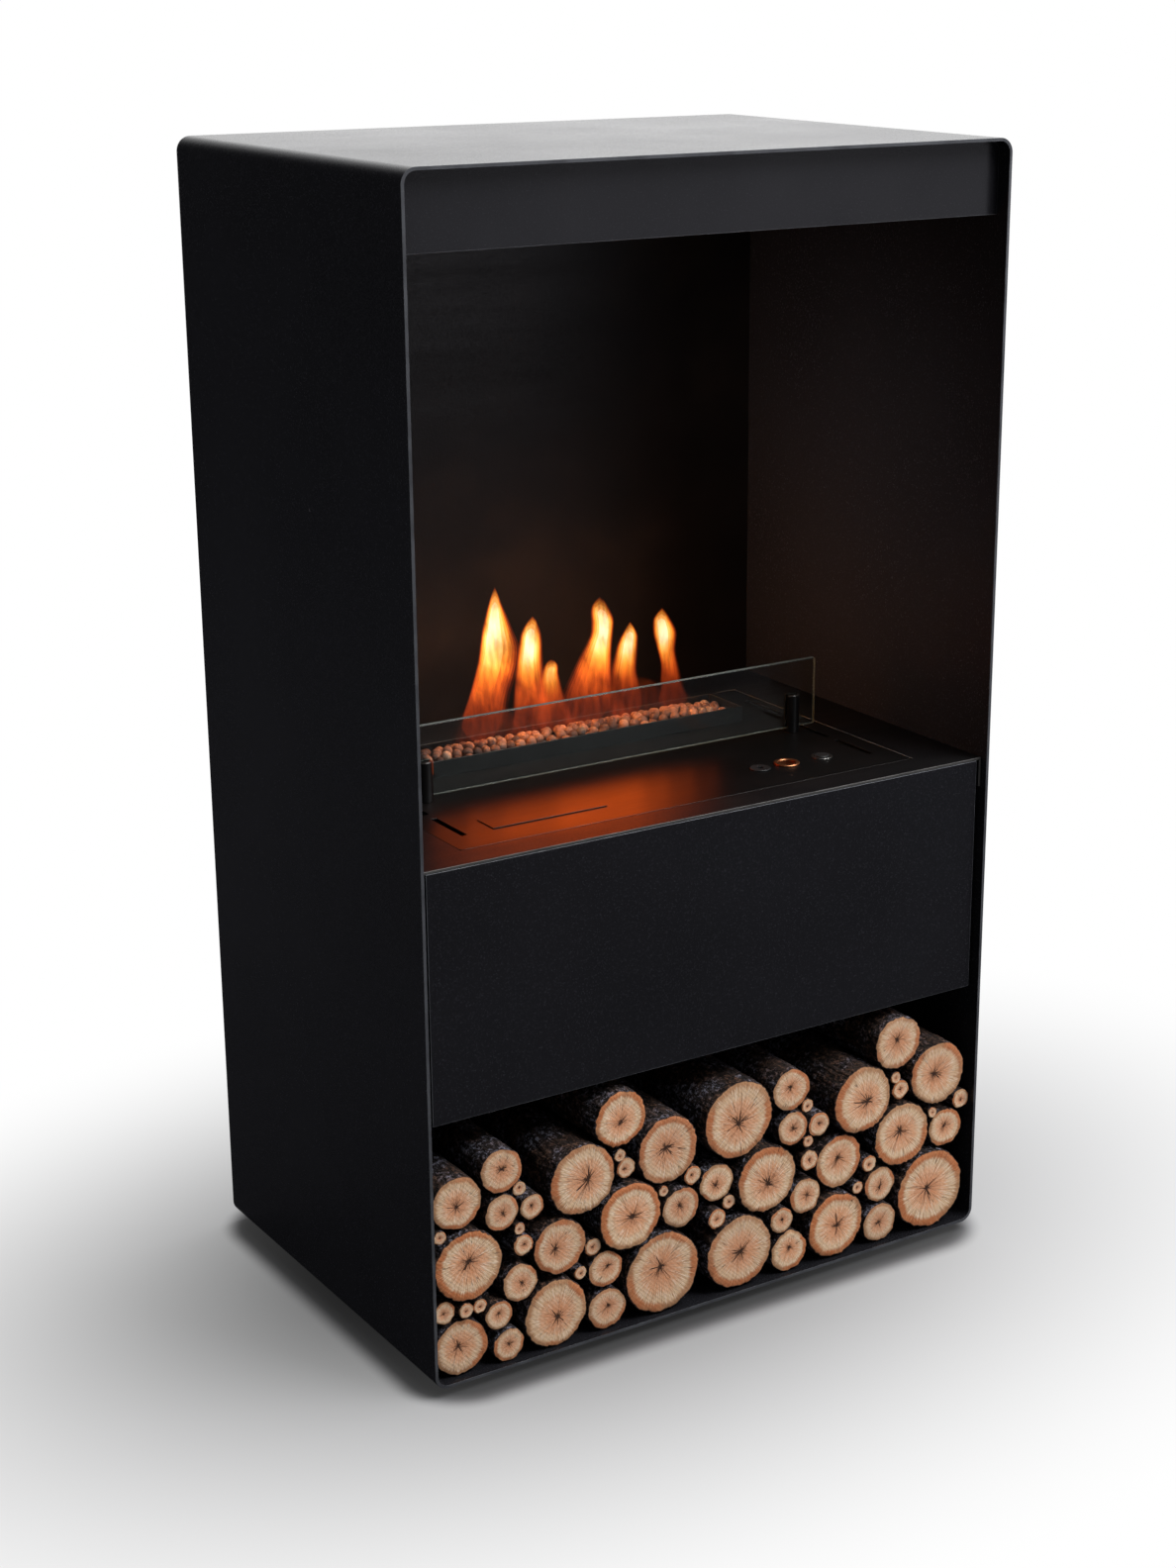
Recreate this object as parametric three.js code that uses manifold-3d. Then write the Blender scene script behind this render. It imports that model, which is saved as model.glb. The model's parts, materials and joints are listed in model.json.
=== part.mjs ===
// A free-standing bioethanol fireplace: a wrapped steel cabinet with an open firebox, a lift-out
// automatic burner in its deck, and a niche full of firewood below.
// Millimetres, +Z up, the front looks along -Y, origin on the ground under the middle.

import * as THREE from 'three';
import { mergeVertices } from 'three/addons/utils/BufferGeometryUtils.js';
import Module from 'manifold-3d';

const wasm = await Module();
wasm.setup();

// ---------------------------------------------------------------- driving dimensions

const seatGap = 0.3; // between two pieces that bear on each other
const slipGap = 0.4; // round a piece that passes through a hole

// cabinet
const caseWidth = 640;
const caseDepth = 440;
const caseHeight = 1105;
const caseWall = 3;
const caseCorner = 14; // outside radius of the four wrapped corners
const footHeight = 10; // ground to the casing's underside
const backThickness = 2;
const backInset = 2.5; // back panel's outer face to the casing's rear edge
const flueDepth = 20.5; // air gap between the firebox liner and the back panel
const ventCount = 8; // slots in a row of the back panel
const ventRows = 3;
const ventLength = 46;
const ventWidth = 6;
const ventPitch = 60;
const ventRowPitch = 22;
const lowVents = 130; // niche ceiling up to the lower group's first row
const highVents = 110; // casing's top down to the upper group's first row
const cableX = -190;
const cableRise = 60; // niche ceiling up to the cable hole
const cableHole = 13;
const grommetWall = 4;
const grommetLip = 3; // how far its lips stand past the hole
const grommetLipThickness = 1.2;

// firebox and its canopy
const deckHeight = 505; // casing's underside to the deck's top
const deckThickness = 2.5;
const deckInset = 8; // casing's front edge to the deck and the front panel
const deckFlange = 30;
const canopyDrop = 71; // casing's top down to the canopy's lower edge
const canopyInset = 15;
const canopyLip = 25;
const canopyThickness = 2.5;
const linerThickness = 2;

// front panel and niche
const nicheHeight = 259; // niche floor up to the front panel's lower edge
const panelThickness = 2.5;
const panelSideGap = 6;
const panelReturn = 15;
const nicheCeilingThickness = 2;
const nicheCeilingFlange = 20;
const nicheCeilingInset = 15;

// feet
const padRadius = 18;
const padThickness = 3.7;
const studRadius = 4;
const footInset = 40; // casing's outer faces to a foot's axis
const railWidth = 30;

// burner insert, measured from the edges of its top plate
const plateSideMargin = 63.75; // casing's outer face to the plate
const plateFrontMargin = 43;
const plateRearMargin = 88;
const plateThickness = 2.5;
const plateSeam = 0.75; // visible joint round the plate
const ledgeLap = 7; // how far the plate overlaps the ledge that carries it
const ledgeWidth = 21;
const ledgeThickness = 2.2;
const housingInset = 11.25;
const housingClearance = 62; // niche ceiling to the housing's underside
const housingWall = 1.5;
const slotWidth = 6;
const slotLength = 58;
const slotInset = 23.5; // plate's end to the axis of the front slots
const slotStarts = [35, 107]; // from the plate's front edge
const rearSlotInset = 13;

// tray, pebbles and vaporiser
const trayEndMargin = 62.25;
const trayRearMargin = 44;
const trayDepth = 60;
const trayRim = 16; // above the plate
const trayBelow = 24;
const trayWall = 2;
const pebbleCrown = 4; // heap above the rim
const jetCount = 9;
const jetRadius = 2.5;
const vaporiserWidth = 28;
const vaporiserHeight = 18;
const vaporiserEndGap = 44; // tray's end to the vaporiser's end
const groovePitch = 24;
const grooveWidth = 6;
const grooveDepth = 5;
const probeRadius = 3;
const probeInset = 22; // tray's end to the igniter and the flame sensor
const probeBodyRadius = 5;
const igniterLength = 30;
const sensorLength = 20;

// glass and its posts
const paneThickness = 5;
const paneHeight = 70;
const paneLift = 5; // above the plate
const paneEndMargin = 15.25;
const paneToTray = 61;
const postRadius = 8;
const postHeight = 40;
const postEndMargin = 43;

// controls on the plate
const portRow = 54; // from the plate's front edge
const flangeHeight = 2; // filler's and socket's flanges above the plate
const buttonEndMargin = 71;
const fillerEndMargin = 114;
const jackEndMargin = 146;
const buttonRadius = 7.5;
const buttonTravel = 1.5;
const buttonRise = 1.3; // above its bezel
const buttonCapDepth = 5;
const buttonStemRadius = 2.5;
const buttonStemLength = 24;
const bezelRadius = 11;
const bezelHeight = 1.2;
const bezelWall = 1.5;
const bezelDepth = 14;
const switchSize = 16;
const switchHeight = 20;
const fillerRadius = 13;
const fillerBore = 8.5;
const fillerTubeWall = 1.5;
const valveDepth = 22; // plate's top to the valve's seat
const valveChamber = 28;
const valveLip = 2; // how far the seat stands into the bore
const valveSeatThickness = 2;
const valveDisc = 3;
const valveStemRadius = 1.5;
const valveStemLength = 20;
const neckInTank = 6; // how far the filler's tube ends below the tank's lid
const springTurns = 6;
const springWire = 0.6;
const jackRadius = 10.5;
const jackBore = 3.5;
const jackDepth = 14;
const jackBodyRadius = 7.5;
const labelLength = 123;
const labelWidth = 30;
const labelThickness = 0.6;
const labelEndMargin = 54.5;
const labelFrontMargin = 36;

// inside the housing
const tankHeight = 90;
const tankWall = 1.5;
const tankFrontGap = 2;
const tankLeftMargin = 113; // housing's inside to the tank
const tankPastFiller = 25;
const levelFromLeft = 50; // tank's left end to the level sensor
const floatRadius = 11;
const floatHeight = 18;
const levelStemRadius = 3;
const levelStop = 2; // the stem's foot, on which the float rests
const levelFlange = 3;
const pumpRadius = 20;
const pumpLength = 48;
const pumpFromCentre = 20;
const pumpFoot = 6;
const pumpNose = 2; // how far its front port stands out
const hoseSpan = 68.25; // tank's rear to the pump's front port
const stubLength = 12;
const hoseRadius = 4;
const pipeRadius = 3;
const pipeShift = 60; // pump's axis to the vaporiser's inlet
const boardLength = 120;
const boardWidth = 60;
const boardEndGap = 24;
const boardRearGap = 8;
const standoffHeight = 8;
const fanSize = 60;
const fanThickness = 12;
const fanBladeCount = 7;
const fanInset = 38;
const fanFrontGap = 12;
const fanHub = 9;
const fanRim = 3; // frame's side to its bore
const fanSpider = 2.5;
const inletWidth = 26;
const inletHeight = 19;
const inletDepth = 16;
const inletFromCentre = 150;
const inletRise = 30; // housing's floor to the inlet
const inletFlange = 4;
const inletWall = 3;

// firewood: the middle of each log's end from the niche's left wall and floor, and its radius
const logLength = 330;
const logSetback = 3; // front edge of the casing to the logs' ends
const logSides = 24;
const stackPitch = 331; // the same pile is laid twice, this far apart
const stackWidth = 634; // niche that the pile is drawn for
const stackHeight = 259;
const pileMotif = [
  [131, 36, 36],
  [252, 44, 44],
  [213, 117, 36],
  [44, 113, 37],
  [260, 174, 36],
  [138, 190, 37],
  [199, 212, 30],
];
const pileMiddle = [
  [343, 40, 40],
  [342, 181, 42],
];

// ---------------------------------------------------------------- derived places

const halfWidth = caseWidth / 2;
const halfDepth = caseDepth / 2;
const innerHalf = halfWidth - caseWall;
const fitHalf = innerHalf - seatGap;
const caseTop = footHeight + caseHeight;
const nicheFloor = footHeight + caseWall;
const panelBottom = nicheFloor + nicheHeight;
const deckTop = footHeight + deckHeight;
const deckUnder = deckTop - deckThickness;
const backOuter = halfDepth - backInset;
const backInner = backOuter - backThickness;
const linerFront = backInner - flueDepth - linerThickness;
const canopyBottom = caseTop - canopyDrop;
const canopyFront = -halfDepth + canopyInset;
const panelFront = -halfDepth + deckInset;
const ceilingUnder = panelBottom + panelThickness + seatGap;
const ceilingTop = ceilingUnder + nicheCeilingThickness;
const cableZ = ceilingTop + cableRise;

// the burner group's origin is the middle of the plate's top
const plateLength = caseWidth - 2 * plateSideMargin;
const plateDepth = caseDepth - plateFrontMargin - plateRearMargin;
const burnerY = (plateFrontMargin - plateRearMargin) / 2;
const plateEnd = plateLength / 2;
const plateEdge = plateDepth / 2;
const plateUnder = -plateThickness;
const housingEnd = plateEnd - housingInset;
const housingEdge = plateEdge - housingInset;
const housingTop = plateUnder - seatGap;
const housingBottom = ceilingTop + housingClearance - deckTop;
const housingFloor = housingBottom + housingWall;
const shelf = housingFloor + seatGap; // where pieces stand inside the housing
const innerEnd = housingEnd - housingWall;
const innerEdge = housingEdge - housingWall;
const trayEnd = plateEnd - trayEndMargin;
const trayBack = plateEdge - trayRearMargin;
const trayFront = trayBack - trayDepth;
const trayMiddle = (trayFront + trayBack) / 2;
const vaporiserTop = -trayBelow - seatGap;
const vaporiserBottom = vaporiserTop - vaporiserHeight;
const paneY = trayFront - paneToTray;
const portY = -plateEdge + portRow;
const buttonX = plateEnd - buttonEndMargin;
const fillerX = plateEnd - fillerEndMargin;
const jackX = plateEnd - jackEndMargin;
const tankFront = -innerEdge + tankFrontGap;
const tankLeft = -innerEnd + tankLeftMargin;
const tankRight = fillerX + tankPastFiller;
const tankTop = shelf + tankHeight;
const pumpFront = trayMiddle - pumpRadius - pumpNose;
const tankDepth = pumpFront - hoseSpan - tankFront;
const levelX = tankLeft + levelFromLeft;
const levelY = tankFront + tankDepth / 2;
const levelHole = floatRadius + 2;
const levelFoot = shelf + tankWall + 3;
const floatRest = levelFoot + levelStop + seatGap;
const pumpPort = shelf + pumpRadius;
const fanX = -innerEnd + fanInset;
const fanY = -innerEdge + fanFrontGap + fanSize / 2;
const fanBore = fanSize / 2 - fanRim;
const inletZ = shelf + inletRise;

// ---------------------------------------------------------------- materials

const material = (color, roughness, metalness, opacity = 1) =>
  new THREE.MeshStandardMaterial({ color, roughness, metalness, opacity, transparent: opacity < 1 });

const powderCoat = material(0x1b1c22, 0.62, 0.1);
const firePaint = material(0x151517, 0.7, 0.1);
const satinSteel = material(0x2a2724, 0.38, 0.7);
const bareSteel = material(0x9a9a98, 0.35, 0.9);
const zincSteel = material(0x7f8388, 0.45, 0.8);
const brass = material(0xb5813f, 0.3, 0.9);
const copper = material(0xa8623a, 0.35, 0.9);
const glass = material(0x6f7a72, 0.08, 0, 0.35);
const ceramic = material(0x86685c, 0.8, 0);
const rubber = material(0x17181a, 0.85, 0);
const blackPlastic = material(0x1d1d1f, 0.55, 0);
const boardGreen = material(0x1f5a35, 0.5, 0.1);
const wood = material(0xd9b98c, 0.8, 0);

// ---------------------------------------------------------------- shape helpers

// A closed triangle mesh with its shared corners merged, as a solid that can be cut and joined.
function toSolid(geometry) {
  const bare = geometry.clone();
  bare.deleteAttribute('normal');
  bare.deleteAttribute('uv');
  const merged = mergeVertices(bare, 1e-4);
  const index = merged.index.array;
  const corners = [];
  for (let i = 0; i < index.length; i += 3) {
    const [a, b, c] = [index[i], index[i + 1], index[i + 2]];
    if (a !== b && b !== c && c !== a) corners.push(a, b, c);
  }
  return new wasm.Manifold(new wasm.Mesh({
    numProp: 3,
    vertProperties: new Float32Array(merged.attributes.position.array),
    triVerts: new Uint32Array(corners),
  }));
}

function toGeometry(solid) {
  const mesh = solid.getMesh();
  const geometry = new THREE.BufferGeometry();
  geometry.setAttribute('position', new THREE.BufferAttribute(mesh.vertProperties, 3));
  geometry.setIndex(new THREE.BufferAttribute(mesh.triVerts, 1));
  geometry.computeVertexNormals();
  return geometry;
}

const cut = (geometry, ...tools) =>
  toGeometry(tools.reduce((solid, tool) => solid.subtract(toSolid(tool)), toSolid(geometry)));
const join = (geometry, ...others) =>
  toGeometry(others.reduce((solid, other) => solid.add(toSolid(other)), toSolid(geometry)));
const trim = (geometry, limit) => toGeometry(toSolid(geometry).intersect(toSolid(limit)));

// A block between two opposite corners.
function block([x0, y0, z0], [x1, y1, z1]) {
  const geometry = new THREE.BoxGeometry(x1 - x0, y1 - y0, z1 - z0);
  return geometry.translate((x0 + x1) / 2, (y0 + y1) / 2, (z0 + z1) / 2);
}

function polygon(points) {
  return new THREE.Shape(points.map(([x, y]) => new THREE.Vector2(x, y)));
}

function roundedRectangle(x0, y0, x1, y1, radius, Kind = THREE.Shape) {
  const shape = new Kind();
  shape.moveTo(x0 + radius, y0);
  shape.lineTo(x1 - radius, y0);
  shape.absarc(x1 - radius, y0 + radius, radius, -Math.PI / 2, 0, false);
  shape.lineTo(x1, y1 - radius);
  shape.absarc(x1 - radius, y1 - radius, radius, 0, Math.PI / 2, false);
  shape.lineTo(x0 + radius, y1);
  shape.absarc(x0 + radius, y1 - radius, radius, Math.PI / 2, Math.PI, false);
  shape.lineTo(x0, y0 + radius);
  shape.absarc(x0 + radius, y0 + radius, radius, Math.PI, Math.PI * 1.5, false);
  return shape;
}

function extrude(shape, depth, curveSegments = 6) {
  return new THREE.ExtrudeGeometry(shape, { depth, bevelEnabled: false, curveSegments });
}

// A shape drawn in X and Z, drawn out along Y from y0 to y1.
function alongY(shape, y0, y1) {
  return extrude(shape, y1 - y0).rotateX(Math.PI / 2).translate(0, y1, 0);
}

// A shape drawn in Y and Z, drawn out along X from x0 to x1.
function alongX(shape, x0, x1) {
  return extrude(shape, x1 - x0).rotateX(Math.PI / 2).rotateZ(Math.PI / 2).translate(x0, 0, 0);
}

// A shape drawn in X and Y, drawn out along Z from z0 to z1.
function alongZ(shape, z0, z1, curveSegments) {
  return extrude(shape, z1 - z0, curveSegments).translate(0, 0, z0);
}

function rod(radius, z0, z1, sides = 24) {
  const geometry = new THREE.CylinderGeometry(radius, radius, z1 - z0, sides);
  return geometry.rotateX(Math.PI / 2).translate(0, 0, (z0 + z1) / 2);
}

// A turned piece: [radius, z] points from the bottom of the axis round to its top,
// or anticlockwise round a closed outline that is given its first point again.
function turned(points, sides = 24) {
  const outline = points.map(([r, z]) => new THREE.Vector2(r, z));
  const geometry = new THREE.LatheGeometry(outline, sides);
  return toGeometry(toSolid(geometry.rotateX(Math.PI / 2)));
}

// A round bar or hose along a smooth curve through the points.
function bent(points, radius, steps, sides = 8) {
  const path = new THREE.CatmullRomCurve3(points.map((p) => new THREE.Vector3(...p)), false, 'centripetal');
  const section = new THREE.Shape().absarc(0, 0, radius, 0, Math.PI * 2, false);
  const options = { steps, extrudePath: path, curveSegments: Math.ceil(sides / 2), bevelEnabled: false };
  return new THREE.ExtrudeGeometry(section, options);
}

const fireplace = new THREE.Group();
const burner = new THREE.Group();
burner.position.set(0, burnerY, deckTop);
const firewood = new THREE.Group();
firewood.position.set(-innerHalf, -halfDepth + logSetback, nicheFloor);
fireplace.add(burner, firewood);

function addPiece(parent, name, geometry, finish, x = 0, y = 0, z = 0) {
  const mesh = new THREE.Mesh(geometry, finish);
  mesh.name = name;
  mesh.position.set(x, y, z);
  parent.add(mesh);
  return mesh;
}

// ---------------------------------------------------------------- cabinet

// Feet's axes, one near each corner.
const footPlaces = [
  ['front_left', -1, -1],
  ['front_right', 1, -1],
  ['rear_left', -1, 1],
  ['rear_right', 1, 1],
].map(([name, sideX, sideY]) => [name, sideX * (halfWidth - footInset), sideY * (halfDepth - footInset)]);

// The space inside the wrapped sheet, drawn in by a clearance, from y0 to y1.
function insideCase(clearance, y0, y1, Kind) {
  const inset = caseWall + clearance;
  const outline = roundedRectangle(-halfWidth + inset, footHeight + inset, halfWidth - inset,
    caseTop - inset, caseCorner - inset, Kind);
  return Kind === THREE.Path ? outline : alongY(outline, y0, y1);
}

function makeCasing() {
  const shape = roundedRectangle(-halfWidth, footHeight, halfWidth, caseTop, caseCorner);
  shape.holes.push(insideCase(0, 0, 0, THREE.Path));
  const studHoles = footPlaces.map(([, x, y]) =>
    rod(studRadius + slipGap, footHeight - 1, nicheFloor + 1, 12).translate(x, y, 0));
  return cut(alongY(shape, -halfDepth, halfDepth), ...studHoles);
}

// The back panel has two groups of vent slots, each in rows, and a hole for the supply lead.
function makeBackPanel() {
  const pitch = Math.min(ventPitch, (2 * fitHalf) / (ventCount + 1));
  const length = ventLength * (pitch / ventPitch);
  const sheet = insideCase(seatGap, backInner, backOuter);
  const lead = rod(cableHole, -backOuter - 1, -backInner + 1).rotateX(Math.PI / 2);
  const openings = [lead.translate(cableX, 0, cableZ)];
  for (const base of [ceilingTop + lowVents, caseTop - highVents]) {
    for (let row = 0; row < ventRows; row += 1) {
      for (let i = 0; i < ventCount; i += 1) {
        const x = (i - (ventCount - 1) / 2) * pitch;
        const z = base + row * ventRowPitch;
        openings.push(block([x - length / 2, backInner - 1, z],
          [x + length / 2, backOuter + 1, z + ventWidth]));
      }
    }
  }
  return cut(sheet, ...openings);
}

// A rubber ring that lines the cable hole and grips the panel from both sides.
function makeGrommet() {
  const bore = cableHole - grommetWall;
  const lip = cableHole + grommetLip;
  const waist = cableHole - slipGap;
  const half = backThickness / 2 + seatGap;
  const face = half + grommetLipThickness;
  return turned([[bore, -face], [lip, -face], [lip, -half], [waist, -half], [waist, half],
    [lip, half], [lip, face], [bore, face], [bore, -face]], 20);
}

// An angle of sheet across the top of the firebox, its lip turned in at the bottom.
function makeCanopyFascia() {
  const y = canopyFront;
  const z = canopyBottom;
  const t = canopyThickness;
  const profile = polygon([[y, z], [y + canopyLip, z], [y + canopyLip, z + t], [y + t, z + t],
    [y + t, caseTop], [y, caseTop]]);
  return trim(alongX(profile, -halfWidth, halfWidth), insideCase(seatGap, -halfDepth, halfDepth));
}

function makeCanopyBaffle() {
  const z = canopyBottom + canopyThickness + seatGap;
  return block([-fitHalf, canopyFront + canopyThickness + seatGap, z],
    [fitHalf, linerFront - seatGap, z + linerThickness]);
}

function makeLiner() {
  const sheet = block([-halfWidth, linerFront, deckTop + seatGap],
    [halfWidth, linerFront + linerThickness, caseTop]);
  return trim(sheet, insideCase(seatGap, -halfDepth, halfDepth));
}

// The hearth: a sheet with turned-down sides and an opening for the burner.
function makeDeck() {
  const t = deckThickness;
  const z = deckTop;
  const profile = polygon([[-fitHalf, z], [-fitHalf, z - deckFlange], [-fitHalf + t, z - deckFlange],
    [-fitHalf + t, z - t], [fitHalf - t, z - t], [fitHalf - t, z - deckFlange],
    [fitHalf, z - deckFlange], [fitHalf, z]]);
  const opening = block([-plateEnd - plateSeam, burnerY - plateEdge - plateSeam, z - 2 * t],
    [plateEnd + plateSeam, burnerY + plateEdge + plateSeam, z + t]);
  return cut(alongY(profile, panelFront, backInner - seatGap), opening);
}

// The frame under the deck's opening that the burner's plate rests on.
function makeLedge() {
  const top = deckUnder - seatGap;
  const inner = ledgeLap;
  const outer = ledgeWidth - ledgeLap;
  const shape = roundedRectangle(-plateEnd - outer, burnerY - plateEdge - outer,
    plateEnd + outer, burnerY + plateEdge + outer, 3);
  shape.holes.push(roundedRectangle(-plateEnd + inner, burnerY - plateEdge + inner,
    plateEnd - inner, burnerY + plateEdge - inner, 3, THREE.Path));
  return alongZ(shape, top - ledgeThickness, top, 2);
}

// The front panel hangs between the deck and the niche's ceiling by its two returns.
function makeFrontPanel() {
  const y = panelFront;
  const t = panelThickness;
  const low = panelBottom;
  const high = deckUnder - seatGap;
  const profile = polygon([[y, low], [y + panelReturn, low], [y + panelReturn, low + t], [y + t, low + t],
    [y + t, high - t], [y + panelReturn, high - t], [y + panelReturn, high], [y, high]]);
  return alongX(profile, -innerHalf + panelSideGap, innerHalf - panelSideGap);
}

function makeNicheCeiling() {
  const t = nicheCeilingThickness;
  const low = ceilingUnder;
  const high = low + nicheCeilingFlange;
  const profile = polygon([[-fitHalf, low], [fitHalf, low], [fitHalf, high], [fitHalf - t, high],
    [fitHalf - t, low + t], [-fitHalf + t, low + t], [-fitHalf + t, high], [-fitHalf, high]]);
  return alongY(profile, -halfDepth + nicheCeilingInset, backInner - seatGap);
}

// A flat bar under the casing with a tapped hole at each end for a foot.
function makeFootRail() {
  const reach = halfDepth - footInset + padRadius;
  const bar = block([-railWidth / 2, -reach, padThickness + seatGap],
    [railWidth / 2, reach, footHeight - seatGap]);
  const holes = [-1, 1].map((side) =>
    rod(studRadius + slipGap, 0, footHeight, 12).translate(0, side * (halfDepth - footInset), 0));
  return cut(bar, ...holes);
}

// A levelling foot: a thin pad on a threaded stud that ends level with the niche's floor.
function makeFoot() {
  const top = nicheFloor - 0.5;
  return turned([[0, 0], [padRadius - 1, 0], [padRadius, 1], [padRadius, padThickness],
    [studRadius, padThickness], [studRadius, top - 0.5], [studRadius - 0.5, top], [0, top]], 20);
}

addPiece(fireplace, 'casing', makeCasing(), powderCoat);
addPiece(fireplace, 'back_panel', makeBackPanel(), powderCoat);
addPiece(fireplace, 'cable_grommet', makeGrommet().rotateX(Math.PI / 2), rubber,
  cableX, (backOuter + backInner) / 2, cableZ);
addPiece(fireplace, 'canopy_fascia', makeCanopyFascia(), powderCoat);
addPiece(fireplace, 'canopy_baffle', makeCanopyBaffle(), firePaint);
addPiece(fireplace, 'firebox_liner', makeLiner(), firePaint);
addPiece(fireplace, 'burner_deck', makeDeck(), firePaint);
addPiece(fireplace, 'burner_ledge', makeLedge(), zincSteel);
addPiece(fireplace, 'front_panel', makeFrontPanel(), powderCoat);
addPiece(fireplace, 'niche_ceiling', makeNicheCeiling(), powderCoat);
for (const [name, side] of [['left', -1], ['right', 1]]) {
  addPiece(fireplace, `foot_rail_${name}`, makeFootRail(), powderCoat, side * (halfWidth - footInset));
}
for (const [name, x, y] of footPlaces) {
  addPiece(fireplace, `foot_${name}`, makeFoot(), rubber, x, y);
}

// ---------------------------------------------------------------- burner insert

// The insert's top plate, with its air slots and the openings for the tray and the controls.
function makePlate() {
  const through = [plateUnder - 1, 1];
  const slots = [];
  for (const side of [-1, 1]) {
    for (const start of slotStarts) {
      const x = side * (plateEnd - slotInset);
      const y = -plateEdge + start;
      slots.push(block([x - slotWidth / 2, y, through[0]], [x + slotWidth / 2, y + slotLength, through[1]]));
    }
    const x = side * (plateEnd - rearSlotInset);
    slots.push(block([x - slotWidth / 2, trayFront, through[0]], [x + slotWidth / 2, trayBack, through[1]]));
  }
  const trayHole = block([-trayEnd - seatGap, trayFront - seatGap, through[0]],
    [trayEnd + seatGap, trayBack + seatGap, through[1]]);
  const holeAt = (x, radius) => rod(radius, ...through).translate(x, portY, 0);
  const outline = roundedRectangle(-plateEnd, -plateEdge, plateEnd, plateEdge, 4);
  return cut(alongZ(outline, plateUnder, 0, 3), ...slots, trayHole,
    holeAt(buttonX, buttonRadius + bezelWall + slipGap),
    holeAt(fillerX, fillerBore + fillerTubeWall + slipGap),
    holeAt(jackX, jackBodyRadius + slipGap));
}

// A folded box that hangs under the plate and holds the works.
function makeHousing() {
  const shell = block([-housingEnd, -housingEdge, housingBottom], [housingEnd, housingEdge, housingTop]);
  const hollow = block([-innerEnd, -innerEdge, housingFloor], [innerEnd, innerEdge, housingTop + 1]);
  const airHole = rod(fanBore, housingBottom - 1, housingFloor + 1).translate(fanX, fanY, 0);
  const inletHole = block([-inletFromCentre - inletWidth / 2 - slipGap, innerEdge - 1, inletZ - slipGap],
    [-inletFromCentre + inletWidth / 2 + slipGap, housingEdge + 1, inletZ + inletHeight + slipGap]);
  return cut(shell, hollow, airHole, inletHole);
}

// A deep steel trough whose rim stands above the plate, with a row of vapour jets in its floor.
function makeTray() {
  const shell = block([-trayEnd, trayFront, -trayBelow], [trayEnd, trayBack, trayRim]);
  const hollow = block([-trayEnd + trayWall, trayFront + trayWall, -trayBelow + trayWall],
    [trayEnd - trayWall, trayBack - trayWall, trayRim + 1]);
  const pitch = (2 * (trayEnd - vaporiserEndGap)) / jetCount;
  const jets = [];
  for (let i = 0; i < jetCount; i += 1) {
    const x = (i - (jetCount - 1) / 2) * pitch;
    jets.push(rod(jetRadius, -trayBelow - 1, -trayBelow + trayWall + 1, 8).translate(x, trayMiddle, 0));
  }
  const probes = [-1, 1].map((side) =>
    rod(probeRadius + slipGap, -trayBelow - 1, -trayBelow + trayWall + 1, 12)
      .translate(side * (trayEnd - probeInset), trayMiddle, 0));
  return cut(shell, hollow, ...jets, ...probes);
}

// The heap of ceramic pebbles as one body, crowned above the rim.
function makePebbleBed() {
  const low = -trayBelow + trayWall + seatGap;
  const half = trayDepth / 2 - trayWall - seatGap;
  const end = trayEnd - trayWall - seatGap;
  const shoulder = trayRim - 3;
  const arc = new THREE.Shape();
  arc.moveTo(-half, low);
  arc.lineTo(half, low);
  arc.lineTo(half, shoulder);
  arc.quadraticCurveTo(0, 2 * (trayRim + pebbleCrown) - shoulder, -half, shoulder);
  arc.lineTo(-half, low);
  return alongX(arc, -end, end);
}

// The cast heater bar close under the trough's floor, with cooling grooves below.
function makeVaporiser() {
  const end = trayEnd - vaporiserEndGap;
  const edge = vaporiserWidth / 2 + 1;
  const bar = block([-end, -vaporiserWidth / 2, vaporiserBottom], [end, vaporiserWidth / 2, vaporiserTop]);
  const grooves = [];
  for (let x = -end + groovePitch; x < end - groovePitch / 2; x += groovePitch) {
    grooves.push(block([x, -edge, vaporiserBottom - 1],
      [x + grooveWidth, edge, vaporiserBottom + grooveDepth]));
  }
  return cut(bar, ...grooves);
}

// A rod whose body hangs under the trough and whose tip stands in a hole in its floor.
function makeProbe(bodyLength) {
  const top = -trayBelow + trayWall - seatGap;
  const shoulder = -trayBelow - seatGap;
  const low = shoulder - bodyLength;
  return turned([[0, low], [probeBodyRadius, low], [probeBodyRadius, shoulder],
    [probeRadius, shoulder], [probeRadius, top], [0, top]], 16);
}

// A sheet tank with a filler hole, a level sensor's hole and a stub for the fuel hose.
function makeTank() {
  const far = tankFront + tankDepth;
  const shell = block([tankLeft, tankFront, shelf], [tankRight, far, tankTop]);
  const stub = rod(hoseRadius, 0, stubLength, 12).rotateX(-Math.PI / 2)
    .translate(pumpFromCentre, far - 1, pumpPort);
  const hollow = block([tankLeft + tankWall, tankFront + tankWall, shelf + tankWall],
    [tankRight - tankWall, far - tankWall, tankTop - tankWall]);
  const hole = (x, y, radius) => rod(radius, tankTop - tankWall - 1, tankTop + 1).translate(x, y, 0);
  return cut(join(shell, stub), hollow, hole(fillerX, portY, fillerBore + fillerTubeWall + slipGap),
    hole(levelX, levelY, levelHole));
}

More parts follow.
